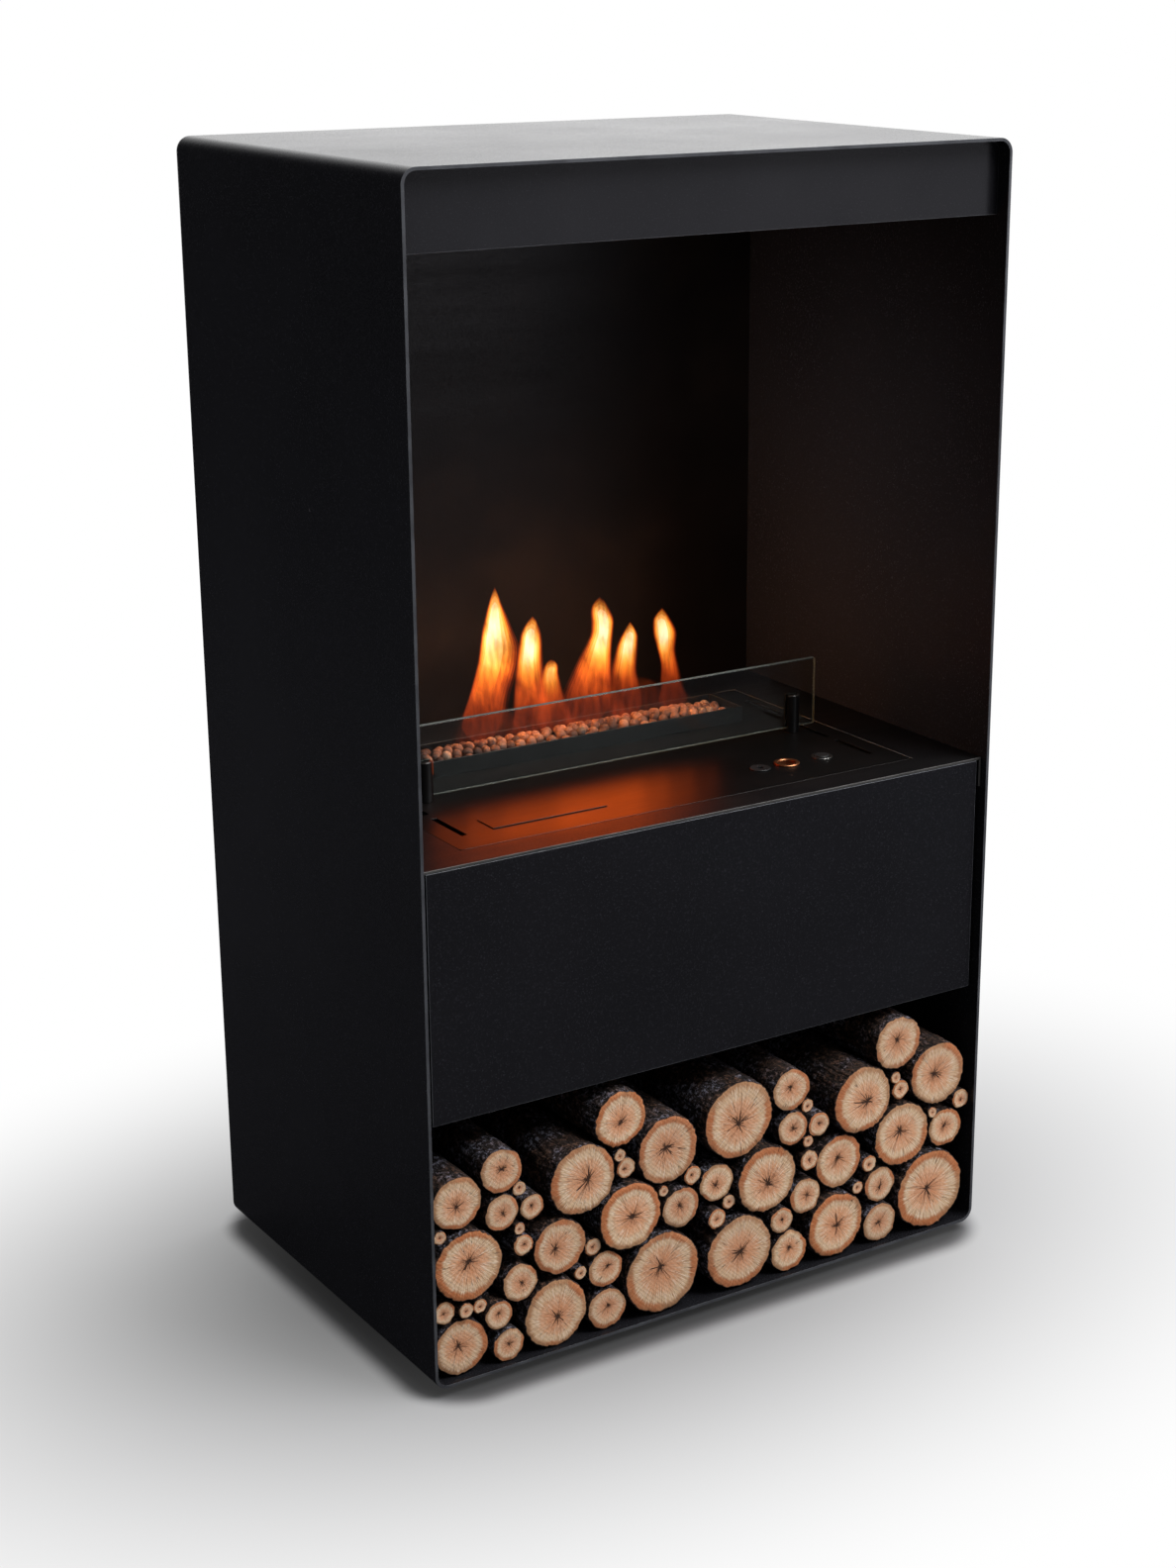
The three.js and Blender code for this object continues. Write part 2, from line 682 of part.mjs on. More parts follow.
// The filler: a flange on the plate, a valve seat below it, and a tube down into the tank.
function makeFillerNeck() {
  const bore = fillerBore;
  const wall = bore + fillerTubeWall;
  const lip = bore - valveLip;
  const t = valveSeatThickness;
  const seat = -valveDepth;
  const floor = seat - t - valveChamber;
  const end = tankTop - tankWall - neckInTank;
  const top = flangeHeight;
  return turned([[bore, end], [wall, end], [wall, seatGap], [fillerRadius, seatGap],
    [fillerRadius, top - 0.8], [fillerRadius - 0.8, top], [bore + 0.8, top], [bore, top - 0.8],
    [bore, seat], [lip, seat], [lip, seat - t], [bore, seat - t],
    [bore, floor], [lip, floor], [lip, floor - t], [bore, floor - t], [bore, end]]);
}

// The valve's disc closes the seat from below; its stem guides the spring.
function makeFillerValve() {
  const top = -valveDepth - valveSeatThickness - seatGap;
  const low = top - valveStemLength;
  const stem = valveStemRadius;
  const disc = fillerBore - 1;
  const under = top - valveDisc;
  return turned([[0, low], [stem, low], [stem, under], [disc, under], [disc, top], [0, top]], 20);
}

// A wound steel spring between the valve's disc and the chamber's lower lip.
function makeValveSpring() {
  const radius = fillerBore - springWire - 1.6;
  const high = -valveDepth - valveSeatThickness - valveDisc - 2 * seatGap - springWire;
  const low = -valveDepth - valveSeatThickness - valveChamber + seatGap + springWire;
  const stepsPerTurn = 8;
  const count = springTurns * stepsPerTurn;
  const points = [];
  for (let i = 0; i <= count; i += 1) {
    const angle = (i / stepsPerTurn) * Math.PI * 2;
    const height = low + ((high - low) * i) / count;
    points.push([radius * Math.cos(angle), radius * Math.sin(angle), height]);
  }
  return bent(points, springWire, count, 5);
}

// A solenoid pump on its foot, fed from the front and delivering at the top.
function makePump() {
  const body = rod(pumpRadius - 4, 0, pumpLength, 20).rotateY(Math.PI / 2)
    .translate(-pumpLength / 2, 0, pumpRadius);
  const footEnd = pumpLength / 2 - pumpFoot;
  const foot = block([-footEnd, -pumpRadius, 0], [footEnd, pumpRadius, pumpFoot]);
  const inPort = rod(hoseRadius, 0, 6 + pumpNose, 12).rotateX(Math.PI / 2)
    .translate(0, -pumpRadius + 6, pumpRadius);
  const outPort = rod(pipeRadius + 1, 0, 10, 12).translate(0, 0, 2 * pumpRadius - 6);
  return join(body, foot, inPort, outPort);
}

// Fuel runs from the tank's stub to the pump's front port.
function makeFeedHose() {
  const start = tankFront + tankDepth + stubLength - 1 + seatGap;
  const end = pumpFront - seatGap;
  const sag = Math.min(6, pumpRadius - hoseRadius - 2);
  const x = pumpFromCentre;
  return bent([[x, start, pumpPort], [x, start + 8, pumpPort], [x, (start + end) / 2, pumpPort - sag],
    [x, end - 8, pumpPort], [x, end, pumpPort]], hoseRadius, 12);
}

// Fuel runs from the pump's top port up to the vaporiser.
function makeDeliveryPipe() {
  const low = shelf + 2 * pumpRadius + 4 + seatGap;
  const high = vaporiserBottom - seatGap;
  const middle = (low + high) / 2;
  const x = pumpFromCentre;
  return bent([[x, trayMiddle, low], [x, trayMiddle, low + 8], [x + pipeShift * 0.2, trayMiddle, middle - 4],
    [x + pipeShift * 0.8, trayMiddle, middle + 4], [x + pipeShift, trayMiddle, high - 8],
    [x + pipeShift, trayMiddle, high]], pipeRadius, 24);
}

// The level sensor hangs from the tank's lid by its flange; its foot stops the float.
function makeLevelStem() {
  const flange = levelHole + levelFlange;
  const seat = tankTop + seatGap;
  const foot = 2 * levelStemRadius;
  const stop = levelFoot + levelStop;
  return turned([[0, levelFoot], [foot, levelFoot], [foot, stop], [levelStemRadius, stop],
    [levelStemRadius, seat], [flange, seat], [flange, seat + levelFlange], [0, seat + levelFlange]], 20);
}

function makeLevelFloat() {
  const bore = levelStemRadius + slipGap;
  return turned([[bore, 0], [floatRadius, 0], [floatRadius, floatHeight],
    [bore, floatHeight], [bore, 0]], 20);
}

// A circuit board on four standoffs, with a relay, a heat sink, a capacitor and a terminal strip.
function makeControlBoard() {
  const top = standoffHeight + 1.6;
  const board = block([0, 0, standoffHeight], [boardLength, boardWidth, top]);
  const posts = [[6, 6], [boardLength - 6, 6], [6, boardWidth - 6], [boardLength - 6, boardWidth - 6]]
    .map(([x, y]) => rod(3, 0, standoffHeight + 1, 8).translate(x, y, 0));
  const devices = [
    block([14, 14, top - 1], [42, 30, top + 16]),
    block([52, 12, top - 1], [84, 24, top + 22]),
    block([20, 42, top - 1], [96, 52, top + 10]),
    rod(7, top - 1, top + 24, 12).translate(100, 24, 0),
  ];
  return join(board, ...posts, ...devices);
}

// A square fan frame whose hub is carried by three arms.
function makeFanFrame() {
  const frame = block([-fanSize / 2, -fanSize / 2, 0], [fanSize / 2, fanSize / 2, fanThickness]);
  const bored = cut(frame, rod(fanBore, -1, fanThickness + 1));
  const arms = [0, 1, 2].map((i) =>
    block([0, -1.5, 0], [fanBore + 1, 1.5, fanSpider]).rotateZ((i * Math.PI * 2) / 3));
  return join(bored, rod(fanHub, 0, fanSpider, 16), ...arms);
}

// The fan's hub with its pitched blades.
function makeFanRotor() {
  const low = fanSpider + seatGap;
  const high = fanThickness - 1;
  const middle = (low + high) / 2;
  const blades = [];
  for (let i = 0; i < fanBladeCount; i += 1) {
    const blade = new THREE.BoxGeometry(fanBore - fanHub - 1, 1.2, (high - low) * 0.95);
    blade.rotateX(0.75).translate((fanBore + fanHub) / 2 - 1.5, 0, middle);
    blades.push(blade.rotateZ((i * Math.PI * 2) / fanBladeCount));
  }
  return join(rod(fanHub, low, high, 20), ...blades);
}

// The power button's cap stands in its bezel; its stem reaches down to the switch.
function makeButton() {
  const top = bezelHeight + buttonRise;
  const stem = buttonStemRadius;
  const low = -buttonStemLength;
  return turned([[0, low], [stem, low], [stem, -buttonCapDepth], [buttonRadius, -buttonCapDepth],
    [buttonRadius, top - 0.6], [buttonRadius - 0.8, top], [0, top]]);
}

function makeBezel() {
  const bore = buttonRadius + seatGap;
  const sleeve = buttonRadius + bezelWall;
  return turned([[bore, -bezelDepth], [sleeve, -bezelDepth], [sleeve, seatGap], [bezelRadius, seatGap],
    [bezelRadius, bezelHeight - 0.4], [bezelRadius - 0.6, bezelHeight],
    [bore, bezelHeight], [bore, -bezelDepth]]);
}

// The switch has a well that the button's stem goes down into.
function makeSwitch() {
  const top = -bezelDepth - seatGap;
  const half = switchSize / 2;
  const well = rod(buttonStemRadius + slipGap, -buttonStemLength - buttonTravel - 2, top + 1, 16);
  return cut(block([-half, -half, top - switchHeight], [half, half, top]), well);
}

// A blind socket for the refuelling pump's plug.
function makeJack() {
  const body = jackBodyRadius;
  const top = flangeHeight - 0.5;
  const floor = top - jackDepth;
  return turned([[0, -jackDepth - 2], [body, -jackDepth - 2], [body, seatGap], [jackRadius, seatGap],
    [jackRadius, top - 0.5], [jackRadius - 0.6, top], [jackBore, top], [jackBore, floor], [0, floor]]);
}

// A post with a slot across its head for the glass.
function makePost() {
  const slot = paneThickness / 2 + seatGap;
  const post = turned([[0, seatGap], [postRadius, seatGap], [postRadius, postHeight - 1],
    [postRadius - 1, postHeight], [0, postHeight]]);
  const reach = postRadius + 1;
  return cut(post, block([-reach, -slot, paneLift - seatGap], [reach, slot, postHeight + 1]));
}

function makePane() {
  const end = plateEnd - paneEndMargin;
  const outline = roundedRectangle(-end, paneLift, end, paneLift + paneHeight, 2);
  return alongY(outline, -paneThickness / 2, paneThickness / 2);
}

// A two-pin inlet: a flange outside the housing and a recessed body through its wall.
function makePowerInlet() {
  const w = inletWidth / 2;
  const wall = inletWall;
  const rim = inletFlange;
  const body = block([-w, -inletDepth, 0], [w, 1, inletHeight]);
  const flange = block([-w - rim, seatGap, -rim], [w + rim, seatGap + 1.5, inletHeight + rim]);
  const recess = block([-w + wall, -inletDepth + 2, wall], [w - wall, 3, inletHeight - wall]);
  const pins = [-1, 1].map((side) =>
    rod(1.2, 0, inletDepth - 4, 10).rotateX(-Math.PI / 2)
      .translate(side * 4.3, -inletDepth + 1, inletHeight / 2));
  return join(cut(join(body, flange), recess), ...pins);
}

addPiece(burner, 'burner_plate', makePlate(), satinSteel);
addPiece(burner, 'burner_housing', makeHousing(), zincSteel);
addPiece(burner, 'burner_tray', makeTray(), satinSteel);
addPiece(burner, 'pebble_bed', makePebbleBed(), ceramic, 0, trayMiddle);
addPiece(burner, 'vaporiser', makeVaporiser(), bareSteel, 0, trayMiddle);
addPiece(burner, 'igniter', makeProbe(igniterLength), bareSteel, -trayEnd + probeInset, trayMiddle);
addPiece(burner, 'flame_sensor', makeProbe(sensorLength), bareSteel, trayEnd - probeInset, trayMiddle);
addPiece(burner, 'fuel_tank', makeTank(), bareSteel);
addPiece(burner, 'filler_neck', makeFillerNeck(), brass, fillerX, portY);
addPiece(burner, 'filler_valve', makeFillerValve(), brass, fillerX, portY);
addPiece(burner, 'valve_spring', makeValveSpring(), bareSteel, fillerX, portY);
addPiece(burner, 'fuel_pump', makePump(), zincSteel, pumpFromCentre, trayMiddle, shelf);
addPiece(burner, 'feed_hose', makeFeedHose(), rubber);
addPiece(burner, 'delivery_pipe', makeDeliveryPipe(), copper);
addPiece(burner, 'level_stem', makeLevelStem(), bareSteel, levelX, levelY);
addPiece(burner, 'level_float', makeLevelFloat(), blackPlastic, levelX, levelY, floatRest);
addPiece(burner, 'control_board', makeControlBoard(), boardGreen,
  innerEnd - boardEndGap - boardLength, innerEdge - boardRearGap - boardWidth, shelf);
addPiece(burner, 'fan_frame', makeFanFrame(), blackPlastic, fanX, fanY, shelf);
addPiece(burner, 'fan_rotor', makeFanRotor(), blackPlastic, fanX, fanY, shelf);
addPiece(burner, 'power_button', makeButton(), blackPlastic, buttonX, portY);
addPiece(burner, 'button_bezel', makeBezel(), bareSteel, buttonX, portY);
addPiece(burner, 'button_switch', makeSwitch(), blackPlastic, buttonX, portY);
addPiece(burner, 'pump_jack', makeJack(), blackPlastic, jackX, portY);
addPiece(burner, 'label_plate', block([0, 0, seatGap], [labelLength, labelWidth, seatGap + labelThickness]),
  satinSteel, -plateEnd + labelEndMargin, -plateEdge + labelFrontMargin);
for (const [name, side] of [['left', -1], ['right', 1]]) {
  addPiece(burner, `glass_post_${name}`, makePost(), satinSteel, side * (plateEnd - postEndMargin), paneY);
}
addPiece(burner, 'glass_pane', makePane(), glass, 0, paneY);
addPiece(burner, 'power_inlet', makePowerInlet(), blackPlastic, -inletFromCentre, housingEdge, inletZ);

// ---------------------------------------------------------------- firewood

// The pile is drawn for the stated niche and follows a wider, narrower or lower one.
const pileScale = Math.min((2 * innerHalf) / stackWidth, nicheHeight / stackHeight);

function pileOutline() {
  const rows = [];
  for (const [x, z, radius] of pileMotif) {
    rows.push([x, z, radius], [x + stackPitch, z, radius]);
  }
  rows.push(...pileMiddle);
  rows.sort((a, b) => a[1] - b[1]);
  return rows.map((row) => row.map((value) => value * pileScale));
}

// How far a log is from a wall, the floor or another log, and which way that lies.
function nearestSeat(log, placed) {
  const walls = [
    { room: log.z - log.radius, x: 0, z: -1 },
    { room: log.x - log.radius, x: -1, z: 0 },
    { room: 2 * innerHalf - log.x - log.radius, x: 1, z: 0 },
  ];
  const others = placed.map((other) => {
    const dx = other.x - log.x;
    const dz = other.z - log.z;
    const distance = Math.hypot(dx, dz);
    return { room: distance - log.radius - other.radius, x: dx / distance, z: dz / distance };
  });
  return [...walls, ...others].reduce((best, seat) => (seat.room < best.room ? seat : best));
}

// Each log is moved up to what it lies nearest to, and off anything it would run into.
function seatLogs() {
  const placed = [];
  for (const [x, z, radius] of pileOutline()) {
    const log = { x, z, radius, turn: 0 };
    for (let step = 0; step < 40; step += 1) {
      const seat = nearestSeat(log, placed);
      const move = seat.room - seatGap;
      log.x += seat.x * move;
      log.z += seat.z * move;
      log.turn = Math.atan2(seat.z, seat.x);
    }
    placed.push(log);
  }
  return placed;
}

seatLogs().forEach((log, i) => {
  const bar = new THREE.CylinderGeometry(log.radius, log.radius, logLength, logSides);
  bar.rotateY(Math.PI / 2 - log.turn); // one edge faces the log's seat
  const name = `firewood_log_${String(i + 1).padStart(2, '0')}`;
  addPiece(firewood, name, bar, wood, log.x, logLength / 2, log.z);
});

export default fireplace;
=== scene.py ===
import bmesh
import bpy
import json
import math
import numpy as np
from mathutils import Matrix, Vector

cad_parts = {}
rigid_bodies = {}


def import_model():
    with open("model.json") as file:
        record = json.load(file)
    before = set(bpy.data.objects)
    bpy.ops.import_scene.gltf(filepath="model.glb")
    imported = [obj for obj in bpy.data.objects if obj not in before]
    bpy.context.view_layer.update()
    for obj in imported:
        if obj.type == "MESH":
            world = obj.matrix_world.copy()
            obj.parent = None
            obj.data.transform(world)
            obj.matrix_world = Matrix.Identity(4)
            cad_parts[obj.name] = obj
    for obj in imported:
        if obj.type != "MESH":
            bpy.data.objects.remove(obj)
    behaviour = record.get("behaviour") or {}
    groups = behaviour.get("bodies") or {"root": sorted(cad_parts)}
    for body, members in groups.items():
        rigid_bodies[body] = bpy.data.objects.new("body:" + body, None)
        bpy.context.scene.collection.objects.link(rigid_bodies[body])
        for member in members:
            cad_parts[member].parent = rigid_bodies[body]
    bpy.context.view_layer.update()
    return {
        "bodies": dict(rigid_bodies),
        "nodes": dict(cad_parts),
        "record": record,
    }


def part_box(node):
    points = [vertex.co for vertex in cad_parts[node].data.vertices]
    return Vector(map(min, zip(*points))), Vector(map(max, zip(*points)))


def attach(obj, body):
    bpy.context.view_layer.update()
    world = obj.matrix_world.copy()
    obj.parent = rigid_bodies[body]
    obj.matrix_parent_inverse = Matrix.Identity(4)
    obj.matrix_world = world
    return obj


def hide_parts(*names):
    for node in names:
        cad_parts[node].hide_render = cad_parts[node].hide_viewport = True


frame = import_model()
cadNodes = frame["nodes"]
scene = bpy.context.scene
print("frame loaded:", len(cadNodes), "nodes")


def addObject(name, data):
    added = bpy.data.objects.new(name, data)
    scene.collection.objects.link(added)
    return added


# ---- camera

viewpoint = {"place": (-1.350, -2.155, 1.283), "azimuth": -33.514, "elevation": 17.743,
             "lens": 61.25, "shiftX": -0.0477, "shiftY": 0.0102, "near": 0.05, "far": 60}
veilBounces = 48  # the flames are stacks of thin veils


def placeCamera():
    turn, rise = math.radians(viewpoint["azimuth"]), math.radians(viewpoint["elevation"])
    back = Vector((math.sin(turn) * math.cos(rise), -math.cos(turn) * math.cos(rise), math.sin(rise)))
    lens = bpy.data.cameras.new("viewpoint")
    lens.lens = viewpoint["lens"]
    lens.shift_x, lens.shift_y = viewpoint["shiftX"], viewpoint["shiftY"]
    lens.clip_start, lens.clip_end = viewpoint["near"], viewpoint["far"]
    camera = addObject("viewpoint", lens)
    camera.location = viewpoint["place"]
    camera.rotation_euler = (-back).to_track_quat("-Z", "Y").to_euler()
    scene.camera = camera


placeCamera()
scene.view_settings.view_transform = "Standard"
scene.cycles.transparent_max_bounces = veilBounces
print("camera placed")


# ---- node trees

def solid(*shade):  # a screen colour as the shader wants it
    return (*(((v / 255 + 0.055) / 1.055) ** 2.4 if v > 10 else v / 255 / 12.92 for v in shade), 1)


class Signal:  # a socket that Python's operators work on
    def __init__(self, graph, node, out=0):
        self.graph, self.node, self.socket = graph, node, node.outputs[out]

    def also(self, out):
        return Signal(self.graph, self.node, out)

    def maths(self, operation, *values):
        return self.graph.add("Math", {"operation": operation}, dict(enumerate(values)))

    def __add__(self, other): return self.maths("ADD", self, other)
    def __radd__(self, other): return self.maths("ADD", other, self)
    def __sub__(self, other): return self.maths("SUBTRACT", self, other)
    def __rsub__(self, other): return self.maths("SUBTRACT", other, self)
    def __mul__(self, other): return self.maths("MULTIPLY", self, other)
    def __rmul__(self, other): return self.maths("MULTIPLY", other, self)
    def __truediv__(self, other): return self.maths("DIVIDE", self, other)
    def __rtruediv__(self, other): return self.maths("DIVIDE", other, self)
    def __pow__(self, other): return self.maths("POWER", self, other)
    def __rpow__(self, other): return self.maths("POWER", other, self)
    def __abs__(self): return self.maths("ABSOLUTE", self)
    def smaller(self, other): return self.maths("MINIMUM", self, other)
    def larger(self, other): return self.maths("MAXIMUM", self, other)


class Graph:  # a node tree being drawn, and the material that it is for
    def __init__(self, tree, material=None):
        self.tree, self.material = tree, material
        tree.nodes.clear()

    def add(self, kind, settings=None, values=None, out=0):  # a shader node goes by its short name
        node = self.tree.nodes.new(kind if "Node" in kind else "ShaderNode" + kind)
        for name, value in (settings or {}).items():
            if name == "stops":
                ramp = node.color_ramp.elements
                while len(ramp) < len(value):
                    ramp.new(0.5)
                for stop, (place, colour) in zip(ramp, value):
                    stop.position = place
                    stop.color = solid(*colour)
            else:
                setattr(node, name, value)
        for name, value in (values or {}).items():
            if isinstance(value, Signal):
                self.tree.links.new(value.socket, node.inputs[name])
            else:
                node.inputs[name].default_value = value
        return Signal(self, node, out) if node.outputs else node

    # the patterns that several finishes share
    def noise(self, where, scale, detail=3, rough=0.6, warp=0):
        return self.add("TexNoise", {}, {
            "Vector": where, "Scale": scale, "Detail": detail, "Roughness": rough, "Distortion": warp})

    def stretch(self, where, scale):
        return self.add("Mapping", {}, {"Vector": where, "Scale": scale})

    def ramp(self, factor, stops):
        return self.add("ValToRGB", {"stops": stops}, {"Fac": factor})

    def mix(self, factor, first, second):  # each a socket or a screen colour
        first, second = (solid(*shade) if isinstance(shade, tuple) else shade for shade in (first, second))
        return self.add("Mix", {"data_type": "RGBA"}, {0: factor, 6: first, 7: second}, 2)

    def step(self, value, low, high, first=0, last=1):
        return self.add("MapRange", {"interpolation_type": "SMOOTHSTEP"}, {
            "Value": value, "From Min": low, "From Max": high, "To Min": first, "To Max": last})

    def bump(self, height, depth, strength=1.0, under=None):
        values = {"Height": height, "Distance": depth, "Strength": strength}
        if under is not None:
            values["Normal"] = under
        return self.add("Bump", {}, values)

    def attribute(self, name, out="Fac"):
        return self.add("Attribute", {"attribute_name": name}, {}, out)

    def wearAndHighlight(self, where, base, shade, scale, low, least):  # rub wear and a painted highlight along the edges
        wornAndLit = self.attribute("edge") * self.step(self.noise(where, scale, 3, 0.5), low, 0.7, least, 1)
        return self.mix(wornAndLit, base, shade)

    def blend(self, share, first, second):
        return self.add("MixShader", {}, {0: share, 1: first, 2: second})

    def close(self, shader, kind="Material"):
        self.add("Output" + kind, {}, {"Surface": shader})
        return self.material

    def finished(self, base, roughness, sheen, normal, metallic=0.0):
        return self.close(self.add("BsdfPrincipled", {}, {
            "Base Color": base, "Roughness": roughness, "Specular IOR Level": sheen, "Normal": normal,
            "Metallic": metallic}))


def newFinish(name):
    material = bpy.data.materials.new(name)
    material.use_nodes = True
    graph = Graph(material.node_tree, material)
    return graph, graph.add("TexCoord", {}, {}, "Object")


# ---- painted and coated sheet

# the edge colour along the bevels is a painted highlight with some rub wear
coatLook = {"colour": (26, 26, 29), "fleck": (42, 42, 47), "cloud": (12, 12, 15), "edge": (104, 106, 111),
            "fleckSize": 620, "cloudSize": 5.5, "peelSize": 260, "relief": 0.0003, "roughness": 0.24, "sheen": 0.12}


def powderCoat():
    g, where = newFinish("powderCoat")
    fleck = g.noise(where, coatLook["fleckSize"], 2)
    cloud = g.noise(where, coatLook["cloudSize"], 4, 0.55)
    peel = g.noise(where, coatLook["peelSize"], 2, 0.5)  # the slight orange peel of a baked coat
    base = g.mix(g.step(fleck, 0.52, 0.78), coatLook["colour"], coatLook["fleck"])
    base = g.mix(g.step(cloud, 0.3, 0.75, 0, 0.22), base, coatLook["cloud"])
    # painted highlight and rub wear along the bevels
    base = g.wearAndHighlight(where, base, coatLook["edge"], 40, 0.25, 0.55)
    skin = g.bump(fleck, coatLook["relief"], 0.3, g.bump(peel, coatLook["relief"], 0.2))
    rough = coatLook["roughness"] + (fleck - 0.5) * 0.2 + (cloud - 0.5) * 0.12
    return g.finished(base, rough, coatLook["sheen"], skin)


# the black of the firebox, and the heat-proof satin of the burner's top, trough and posts
# the light edge colours along their bevels are painted highlights with some rub wear
blackLook = {"firePaint": {
    "tones": [(0, (10, 10, 11)), (0.55, (16, 15, 16)), (1, (24, 22, 21))], "edge": (120, 118, 116),
    "edgeSize": 35, "edgeLeast": 0.5, "grain": (480, 480, 480), "cloud": (7, 5), "smear": (3, 40, 40),
    "smearSize": 1.6, "warp": 0, "roughness": 0.4, "grainRough": 0.25, "smearRough": 0.18, "sheen": 0.3,
    "relief": 0.0003, "depth": 0.4}, "satinSteel": {
    "tones": [(0, (5, 5, 5)), (0.5, (8, 8, 8)), (1, (14, 12, 12))], "edge": (48, 44, 41),
    "edgeSize": 60, "edgeLeast": 0.4, "grain": (22, 900, 900), "cloud": (9, 4), "smear": (5, 16, 16),
    "smearSize": 1.4, "warp": 0.6, "roughness": 0.34, "grainRough": 0.1, "smearRough": 0.14, "sheen": 0.5,
    "relief": 0.0002, "depth": 0.25}}


def blackCoat(name):
    look = blackLook[name]
    g, where = newFinish(name)
    grain = g.noise(g.stretch(where, look["grain"]), 1)
    cloud = g.noise(where, *look["cloud"])
    smear = g.noise(g.stretch(where, look["smear"]), look["smearSize"], 4, 0.6, look["warp"])
    # painted highlight and rub wear along the bevels
    base = g.wearAndHighlight(where, g.ramp(g.step(cloud, 0.25, 0.8), look["tones"]), look["edge"], look["edgeSize"], 0.2,
                  look["edgeLeast"])
    rough = look["roughness"] + (grain - 0.5) * look["grainRough"] + (smear - 0.5) * look["smearRough"]
    return g.finished(base, rough, look["sheen"], g.bump(grain, look["relief"], look["depth"]))


# ---- metals

# colour, how much of a zinc coat's spangle shows, roughness
metalLook = {"zincSteel": ((172, 173, 172), 0.45, 0.42), "bareSteel": ((176, 174, 170), 0.1, 0.3),
             "brass": ((176, 116, 80), 0.1, 0.42), "copper": ((196, 116, 78), 0.1, 0.3)}
plateLook = {"flakeSize": 190, "drawn": (30, 600, 600), "stainSize": 14, "relief": 0.0002}


def barePlate(name):  # zinc-coated, plain or plated metal
    colour, spangle, roughness = metalLook[name]
    g, where = newFinish(name)
    flake = g.add("TexVoronoi", {}, {"Vector": where, "Scale": plateLook["flakeSize"]}, "Color")
    flat = g.add("SeparateColor", {}, {"Color": flake})
    drawn = g.noise(g.stretch(where, plateLook["drawn"]), 1)
    stain = g.noise(where, plateLook["stainSize"], 5)
    base = g.mix(flat * spangle, colour, tuple(v * 0.7 for v in colour))
    base = g.mix(g.step(stain, 0.5, 0.85, 0, 0.45), base, tuple(v * 0.55 for v in colour))
    rough = roughness + (drawn - 0.5) * 0.2 + (flat - 0.5) * 0.12 * spangle
    return g.finished(base, rough, 0.5, g.bump(drawn, plateLook["relief"], 0.3), 1.0)


# ---- rubber, plastics, board

# colour, roughness, how fine the grain is
mouldLook = {"softRubber": ((30, 30, 31), 0.7, 500), "blackPlastic": ((24, 24, 25), 0.45, 700)}


def mouldedStuff(name):
    colour, roughness, grain = mouldLook[name]
    g, where = newFinish(name)
    fine = g.noise(where, grain)
    cloud = g.noise(where, 30, 4)
    base = g.mix(g.step(cloud, 0.35, 0.8, 0, 0.5), colour, tuple(v * 1.5 + 10 for v in colour))
    return g.finished(base, roughness + (fine - 0.5) * 0.3, 0.4, g.bump(fine, 0.0003, 0.5))


boardLook = {"mask": (20, 78, 44), "shade": (16, 66, 38), "track": (48, 118, 66), "pad": (190, 176, 120),
             "trackSize": 210, "padSize": 260, "relief": 0.0002}


def circuitBoard():
    g, where = newFinish("circuitBoard")
    tracks = g.add("TexBrick", {"offset": 0.37, "squash": 0.8}, {
        "Vector": where, "Scale": boardLook["trackSize"], "Mortar Size": 0.09, "Brick Width": 1.7,
        "Row Height": 0.5, "Color1": solid(*boardLook["mask"]), "Color2": solid(*boardLook["shade"]),
        "Mortar": solid(*boardLook["track"])})
    pads = g.add("TexVoronoi", {}, {"Vector": where, "Scale": boardLook["padSize"]}, "Distance")
    base = g.mix(g.step(pads, 0.16, 0.12), tracks, boardLook["pad"])
    return g.finished(base, g.step(pads, 0.16, 0.12, 0.34, 0.25), 0.5, g.bump(pads, boardLook["relief"], 0.3))


# ---- glass, pebbles

glassLook = {"tint": (232, 238, 235), "index": 1.33, "smudge": 0.04, "straight": (0.86, 0.9, 0.88, 1),
             "ground": [(0.3, (34, 42, 38)), (0.7, (96, 104, 98))], "groundRoughness": 0.35, "groundShare": 0.7}


def clearGlass():
    g, where = newFinish("clearGlass")
    smudge = g.noise(where, 18, 4)
    chips = g.noise(where, 500)
    glass = g.add("BsdfPrincipled", {}, {
        "Base Color": solid(*glassLook["tint"]), "Transmission Weight": 1.0, "IOR": glassLook["index"],
        "Roughness": g.step(smudge, 0.5, 0.9, 0.0, glassLook["smudge"])})
    ground = g.add("BsdfPrincipled", {}, {
        "Base Color": g.ramp(chips, glassLook["ground"]), "Roughness": glassLook["groundRoughness"]})
    glass = g.blend(g.attribute("edge") * glassLook["groundShare"], glass, ground)
    clear = g.add("BsdfTransparent", {}, {"Color": glassLook["straight"]})
    shadow = g.add("LightPath", {}, {}, "Is Shadow Ray")
    through = (shadow + shadow.also("Is Glossy Ray") * (1 - shadow.also("Is Transmission Ray"))).smaller(1)
    return g.close(g.blend(through, glass, clear))


ceramicLook = {
    "tints": [(0, (62, 44, 38)), (0.3, (96, 68, 56)), (0.6, (124, 88, 72)), (0.85, (148, 110, 92)),
              (0.93, (92, 80, 74)), (1, (170, 138, 118))],
    "soot": (34, 24, 22), "grainSize": 900, "relief": 0.0006, "roughness": 0.6, "sheen": 0.4}


def pebbleCeramic():
    g, where = newFinish("pebbleCeramic")
    grain = g.noise(where, ceramicLook["grainSize"], 4, 0.65)
    base = g.ramp(g.attribute("tint"), ceramicLook["tints"])
    base = g.mix(g.step(grain, 0.42, 0.8, 0, 0.7), base, ceramicLook["soot"])
    rough = ceramicLook["roughness"] + (grain - 0.5) * 0.4
    return g.finished(base, rough, ceramicLook["sheen"], g.bump(grain, ceramicLook["relief"], 0.7))


# ---- firewood

